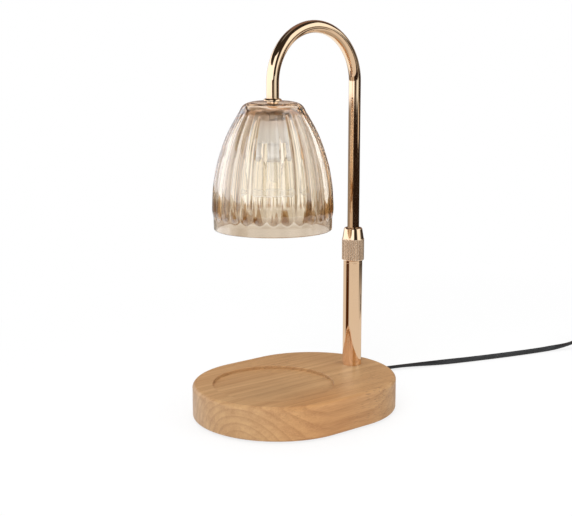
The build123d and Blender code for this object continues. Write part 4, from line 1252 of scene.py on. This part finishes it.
@dataclass
class Cord:
    """Cord from the base to the dimmer, and on through a tied coil to the plug."""

    exit_at: Point = (0.113090, 0.033518, 0.0105)
    dimmer_in: Point = (0.393676, -0.034308, 0.009)
    dimmer_out: Point = (0.471304, -0.053652, 0.009)
    coil_at: Pair = (0.44599, -0.108982)
    coil_low: float = 0.00327
    coil_high: float = 0.00897
    coil_outer: float = 0.0366
    coil_inner: float = 0.0300
    # the bearing at which the coil starts, where on its way it climbs and over how much of it, how far its turns
    # stray and how fast that changes, and the turns of each layer
    coil_start: float = -73.0
    climb: Pair = (0.475, 0.05)
    uneven: Pair = (0.00025, 2.1)
    turns_each: float = 3.0375
    per_turn: int = 14
    plug_mouth: Point = (0.40904, -0.145982, 0.007)
    run: tuple[Point, ...] = (
        (0.1291, 0.0393, 0.0084), (0.1500, 0.0422, 0.0024), (0.1770, 0.0346, 0.0028), (0.2180, 0.0165, 0.0029),
        (0.2620, 0.0015, 0.0029), (0.3100, -0.0125, 0.0029), (0.3520, -0.0232, 0.0030), (0.3820, -0.0316, 0.0056),
    )
    run_turns: tuple[Pair, ...] = ((0.0, 0), (0.06, 0), (0.15, 90), (0.235, 90), (0.285, 0))
    lead: tuple[Point, ...] = (
        (0.4880, -0.0582, 0.0066), (0.5020, -0.0695, 0.0030), (0.5085, -0.0870, 0.0029), (0.5055, -0.1070, 0.0029),
        (0.4940, -0.1235, 0.0029), (0.4760, -0.1360, 0.0030),
    )
    tail: tuple[Point, ...] = ((0.4330, -0.14560, 0.0074), (0.4250, -0.14598, 0.0070), (0.4170, -0.14598, 0.0070))
    lead_turns: tuple[Pair, ...] = ((0.0, 0), (0.05, 90), (1.425, 90), (1.448, 0))

    def coil(self) -> list[Point]:
        """Lays the coil: a flat spiral inwards, and one outwards on top of it.

        Returns:
            The points in order.
        """
        steps = round(self.turns_each * 2 * self.per_turn)
        x, y = self.coil_at
        points = []
        for i in range(steps + 1):
            done = i / steps
            inward = 1 - abs(1 - 2 * done)
            radius = self.coil_outer + (self.coil_inner - self.coil_outer) * inward
            radius += self.uneven[0] * math.sin(i * self.uneven[1])
            height = self.coil_low + (self.coil_high - self.coil_low) * eased((done - self.climb[0]) / self.climb[1])
            angle = math.radians(self.coil_start) - TURN * 2 * self.turns_each * done
            points.append((x + radius * math.cos(angle), y + radius * math.sin(angle), height))
        return points

    def build(self) -> None:
        """Makes both lengths of cord."""
        route = [self.exit_at, *self.run, self.dimmer_in]
        run, run_path = Stretch("cord_to_dimmer", route, self.run_turns).build(["cord_run"])
        route = [self.dimmer_out, *self.lead, *self.coil(), *self.tail, self.plug_mouth]
        lead, lead_path = Stretch("cord_to_plug", route, self.lead_turns).build(["cord_lead", "cord_coil", "cord_tail"])


# ---- dressing -------------------------------------------------------------------------------------
def dress_nodes(nodes: dict[str, bpy.types.Object]) -> None:
    """Gives every node that stays in view its finish.

    Args:
        nodes: the frame's objects by name.
    """
    for finish, names in CAD_FINISHES.items():
        for name in names:
            for place in nodes[name].material_slots:
                place.material = finish.material()
            log.info("%s: %s", name, finish.name)


# ---- stage ----------------------------------------------------------------------------------------
class Softbox(Enum):
    """The lamps: the place of each, what it faces, the side of its square and its power in watts."""

    KEY = ((-1.15, -0.65, 1.25), (0.0, 0.0, 0.15), 0.9, 14.0)
    FILL = ((0.55, -1.45, 0.80), (0.0, 0.0, 0.15), 0.8, 6.0)
    TOP = ((0.10, 0.25, 1.60), (0.0, 0.0, 0.10), 1.0, 9.0)


@dataclass(frozen=True)
class Panel:
    """A soft zone of the room that bright metal reflects, in degrees of bearing and height."""

    bearing: Pair
    height: Pair
    light: Colour
    soft: float = 8.0
    soft_height: float = 4.0


WHITE = (1.45, 1.52, 1.66)
CREAM = (1.25, 1.33, 1.38)
DARK = (0.035, 0.028, 0.022)
# each panel lies over those before it; bearings run from 45 to 405
ROOM = (
    Panel((40, 410), (-95, -10.1), (0.78, 0.76, 0.74), 8.0, 0.8),
    Panel((40, 185), (-95, -17), (1.05, 1.15, 1.25), 20.0, 8.0),
    Panel((185, 410), (-95, -46), (0.50, 0.47, 0.43), 20.0, 14.0),
    Panel((40, 410), (26, 95), DARK, 8.0, 6.0),
    Panel((56, 175), (66, 95), (0.22, 0.22, 0.22), 8.0, 10.0),
    Panel((56, 200), (-2.35, 26), WHITE, 16.0, 0.8),
    Panel((196, 237), (-2.35, 40), WHITE, 8.0, 0.8),
    Panel((238, 270), (-1, 60), DARK, 8.0, 6.0),
    Panel((276, 342), (3, 47), CREAM, 8.0, 4.0),
    Panel((310, 408), (-12, 2.5), DARK, 6.0, 4.0),
    Panel((318, 352), (3, 15), DARK, 8.0, 5.0),
    Panel((110, 152), (-9.9, -2.35), (0.30, 0.27, 0.24), 14.0, 0.8),
    Panel((150, 213), (-9.9, -2.35), (0.62, 0.54, 0.46), 8.0, 0.8),
    Panel((213, 335), (-9.9, -2.35), (0.025, 0.014, 0.009), 8.0, 0.8),
    Panel((219, 243), (-2.35, 3), (0.05, 0.025, 0.012), 8.0, 0.8),
    Panel((262, 300), (-2.35, 4), (0.95, 1.05, 1.10), 10.0, 0.8),
    Panel((300, 322), (-4.5, -2.35), (0.80, 0.72, 0.62), 8.0, 0.8),
    Panel((140, 182), (-21, -10), (0.075, 0.024, 0.005), 10.0, 1.0),
    Panel((308, 400), (-30, -20), DARK, 10.0, 6.0),
    Panel((30, 78), (-6, 95), (0.25, 0.17, 0.14), 20.0, 8.0),
    Panel((376, 420), (-6, 95), (0.25, 0.17, 0.14), 12.0, 8.0),
)


@dataclass(frozen=True)
class Surround:
    """What each kind of ray sees round the lamp. Heights and bearings are in degrees."""

    plain: Colour = (0.62, 0.62, 0.62)
    backdrop: Colour = (1.0, 1.0, 1.0)
    between_panels: Colour = (0.30, 0.29, 0.27)
    first_bearing: float = 45.0
    # through glass: upright bars of tan and white, brown low down, and plain light for what lies behind the glass
    bars: float = 8.0
    bars_from: float = 50.0
    bars_share: Limits = (-1.0, 0.3)
    tan: Colour = (0.36, 0.27, 0.17)
    white: Colour = (1.18, 1.17, 1.15)
    brown: Colour = (0.55, 0.30, 0.12)
    brown_below: Limits = (-34.0, -15.0)
    behind_glass: Colour = (1.6, 1.6, 1.65)
    # reflected inside glass
    inner_low: Colour = (0.40, 0.17, 0.05)
    inner_high: Colour = (1.0, 0.96, 0.88)
    inner_heights: Limits = (-26.0, -6.0)

    def wire(self, tree: Tree) -> None:
        """Chooses by the kind of ray.

        Args:
            tree: the world's nodes.
        """
        x, y, z = tree.axes(tree.add("TexCoord").outputs["Generated"])
        turned = tree.plus(tree.math("DEGREES", tree.math("ARCTAN2", y, x)), 360.0 - self.first_bearing)
        bearing = tree.plus(tree.math("MODULO", turned, 360.0), self.first_bearing)
        height = tree.math("DEGREES", tree.math("ARCSINE", z))
        inner = tree.mix(tree.fit(height, *self.inner_heights), solid(self.inner_low), solid(self.inner_high))
        ray = tree.add("LightPath").outputs
        colour = tree.mix(ray["Is Glossy Ray"], solid(self.plain), self.room(tree, bearing, height))
        colour = tree.mix(ray["Is Transmission Ray"], colour, self.through(tree, bearing, height, ray["Diffuse Depth"]))
        colour = tree.mix(ray["Is Camera Ray"], colour, solid(self.backdrop))
        entered = tree.math("MINIMUM", ray["Transmission Depth"], 1.0)
        colour = tree.mix(tree.times(entered, ray["Is Reflection Ray"]), colour, inner)
        tree.add("OutputWorld", {"Surface": tree.add("Background", {"Color": colour, "Strength": 1.0})})

    def room(self, tree: Tree, bearing: Socket, height: Socket) -> Value:
        """The panels that bright metal reflects.

        Args:
            tree: the world's nodes.
            bearing: the bearing of the ray.
            height: how far it points above the level.

        Returns:
            The colour.
        """
        room: Value = solid(self.between_panels)
        for panel in ROOM:
            across = tree.window(bearing, *panel.bearing, panel.soft)
            inside = tree.times(across, tree.window(height, *panel.height, panel.soft_height))
            room = tree.mix(inside, room, solid(panel.light))
        return room

    def through(self, tree: Tree, bearing: Socket, height: Socket, scattered: Socket) -> Socket:
        """What is seen through glass.

        Args:
            tree: the world's nodes.
            bearing: the bearing of the ray.
            height: how far it points above the level.
            scattered: how often a dull surface has scattered it.

        Returns:
            The colour.
        """
        bars = tree.math("RADIANS", tree.times(tree.minus(bearing, self.bars_from), self.bars))
        seen = tree.mix(tree.fit(tree.math("COSINE", bars), *self.bars_share), solid(self.tan), solid(self.white))
        seen = tree.mix(tree.fit(height, *self.brown_below), solid(self.brown), seen)
        return tree.mix(tree.math("MINIMUM", scattered, 1.0), seen, solid(self.behind_glass))


@dataclass
class Studio:
    """Plain pale floor, soft lamps, a white backdrop and the camera."""

    camera_at: Point = (-0.6372, -0.7484, 0.3242)
    looks_along: Point = (0.6310, 0.7546, -0.1802)
    lens: float = 69.23
    floor_at: Point = (0.20, -0.05, -0.0003)
    floor_radius: float = 0.62
    floor_colour: Colour = (0.86, 0.86, 0.86)
    floor_fade: Limits = (0.30, 0.60, 0.80, 1.0)
    sensor: float = 36.0
    clip: Pair = (0.05, 20.0)
    bounces: tuple[int, int, int] = (24, 16, 24)
    surround: Surround = Surround()

    def build(self) -> None:
        """Makes the whole stage."""
        paths = bpy.context.scene.cycles
        paths.max_bounces, paths.glossy_bounces, paths.transmission_bounces = self.bounces
        self.floor()
        self.world()
        self.lamps()
        self.camera()

    def floor(self) -> None:
        """Makes a disc that keeps the lamp's shadow, fades to white, and lets bright metal see the room."""
        shape = Shape()
        place = Matrix.Translation(self.floor_at)
        bmesh.ops.create_circle(shape.bm, cap_ends=True, segments=96, radius=self.floor_radius, matrix=place)
        mesh = bpy.data.meshes.new("floor")
        shape.bm.to_mesh(mesh)
        shape.bm.free()
        finish = bpy.data.materials.new("pale_floor")
        finish.use_nodes = True
        tree = Tree(finish.node_tree)
        x, y, _ = tree.axes(tree.coords())
        away = tree.distance(tree.minus(x, self.floor_at[0]), tree.minus(y, self.floor_at[1]))
        matte = tree.add("BsdfDiffuse", {"Color": solid(self.floor_colour)})
        white = tree.add("Emission", {"Color": solid(self.surround.backdrop), "Strength": 1.0})
        ray = tree.add("LightPath").outputs
        seen = tree.math("MAXIMUM", ray["Is Camera Ray"], ray["Is Transmission Ray"])
        share = tree.times(seen, tree.fit(away, *self.floor_fade))
        shader = tree.add("MixShader", {0: share, 1: matte, 2: white})
        shader = tree.add("MixShader", {0: ray["Is Glossy Ray"], 1: shader, 2: tree.add("BsdfTransparent")})
        tree.add("OutputMaterial", {"Surface": shader})
        mesh.materials.append(finish)
        made = bpy.data.objects.new("floor", mesh)
        bpy.context.scene.collection.objects.link(made)

    def world(self) -> None:
        """Makes the world from what surrounds the lamp."""
        world = bpy.data.worlds.new("studio")
        bpy.context.scene.world = world
        world.use_nodes = True
        self.surround.wire(Tree(world.node_tree))

    def lamps(self) -> None:
        """Places the soft lamps."""
        for box in Softbox:
            at, towards, side, power = box.value
            lamp = bpy.data.lights.new(box.name.lower(), "AREA")
            lamp.shape = "SQUARE"
            lamp.size = side
            lamp.energy = power
            made = bpy.data.objects.new(box.name.lower(), lamp)
            made.location = at
            made.visible_glossy = made.visible_transmission = False
            made.rotation_mode = "QUATERNION"
            made.rotation_quaternion = (Vector(towards) - Vector(at)).to_track_quat("-Z", "Y")
            bpy.context.scene.collection.objects.link(made)

    def camera(self) -> None:
        """Places the camera."""
        lens = bpy.data.cameras.new("camera")
        lens.sensor_fit = "HORIZONTAL"
        lens.sensor_width = self.sensor
        lens.lens = self.lens
        lens.clip_start, lens.clip_end = self.clip
        made = bpy.data.objects.new("camera", lens)
        made.location = self.camera_at
        made.rotation_mode = "QUATERNION"
        made.rotation_quaternion = Vector(self.looks_along).to_track_quat("-Z", "Y")
        bpy.context.scene.collection.objects.link(made)
        bpy.context.scene.camera = made
        bpy.context.scene.view_settings.view_transform = "Standard"


def main() -> None:
    """Builds the pieces in order, then the stage."""
    logging.basicConfig(level=logging.INFO, format="%(name)s: %(message)s")
    dress_nodes(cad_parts)
    Base().build()
    Post().build()
    Crook().build()
    Shade().build()
    Bulb().build()
    Cord().build()
    Studio().build()


if __name__ == "__main__":
    main()
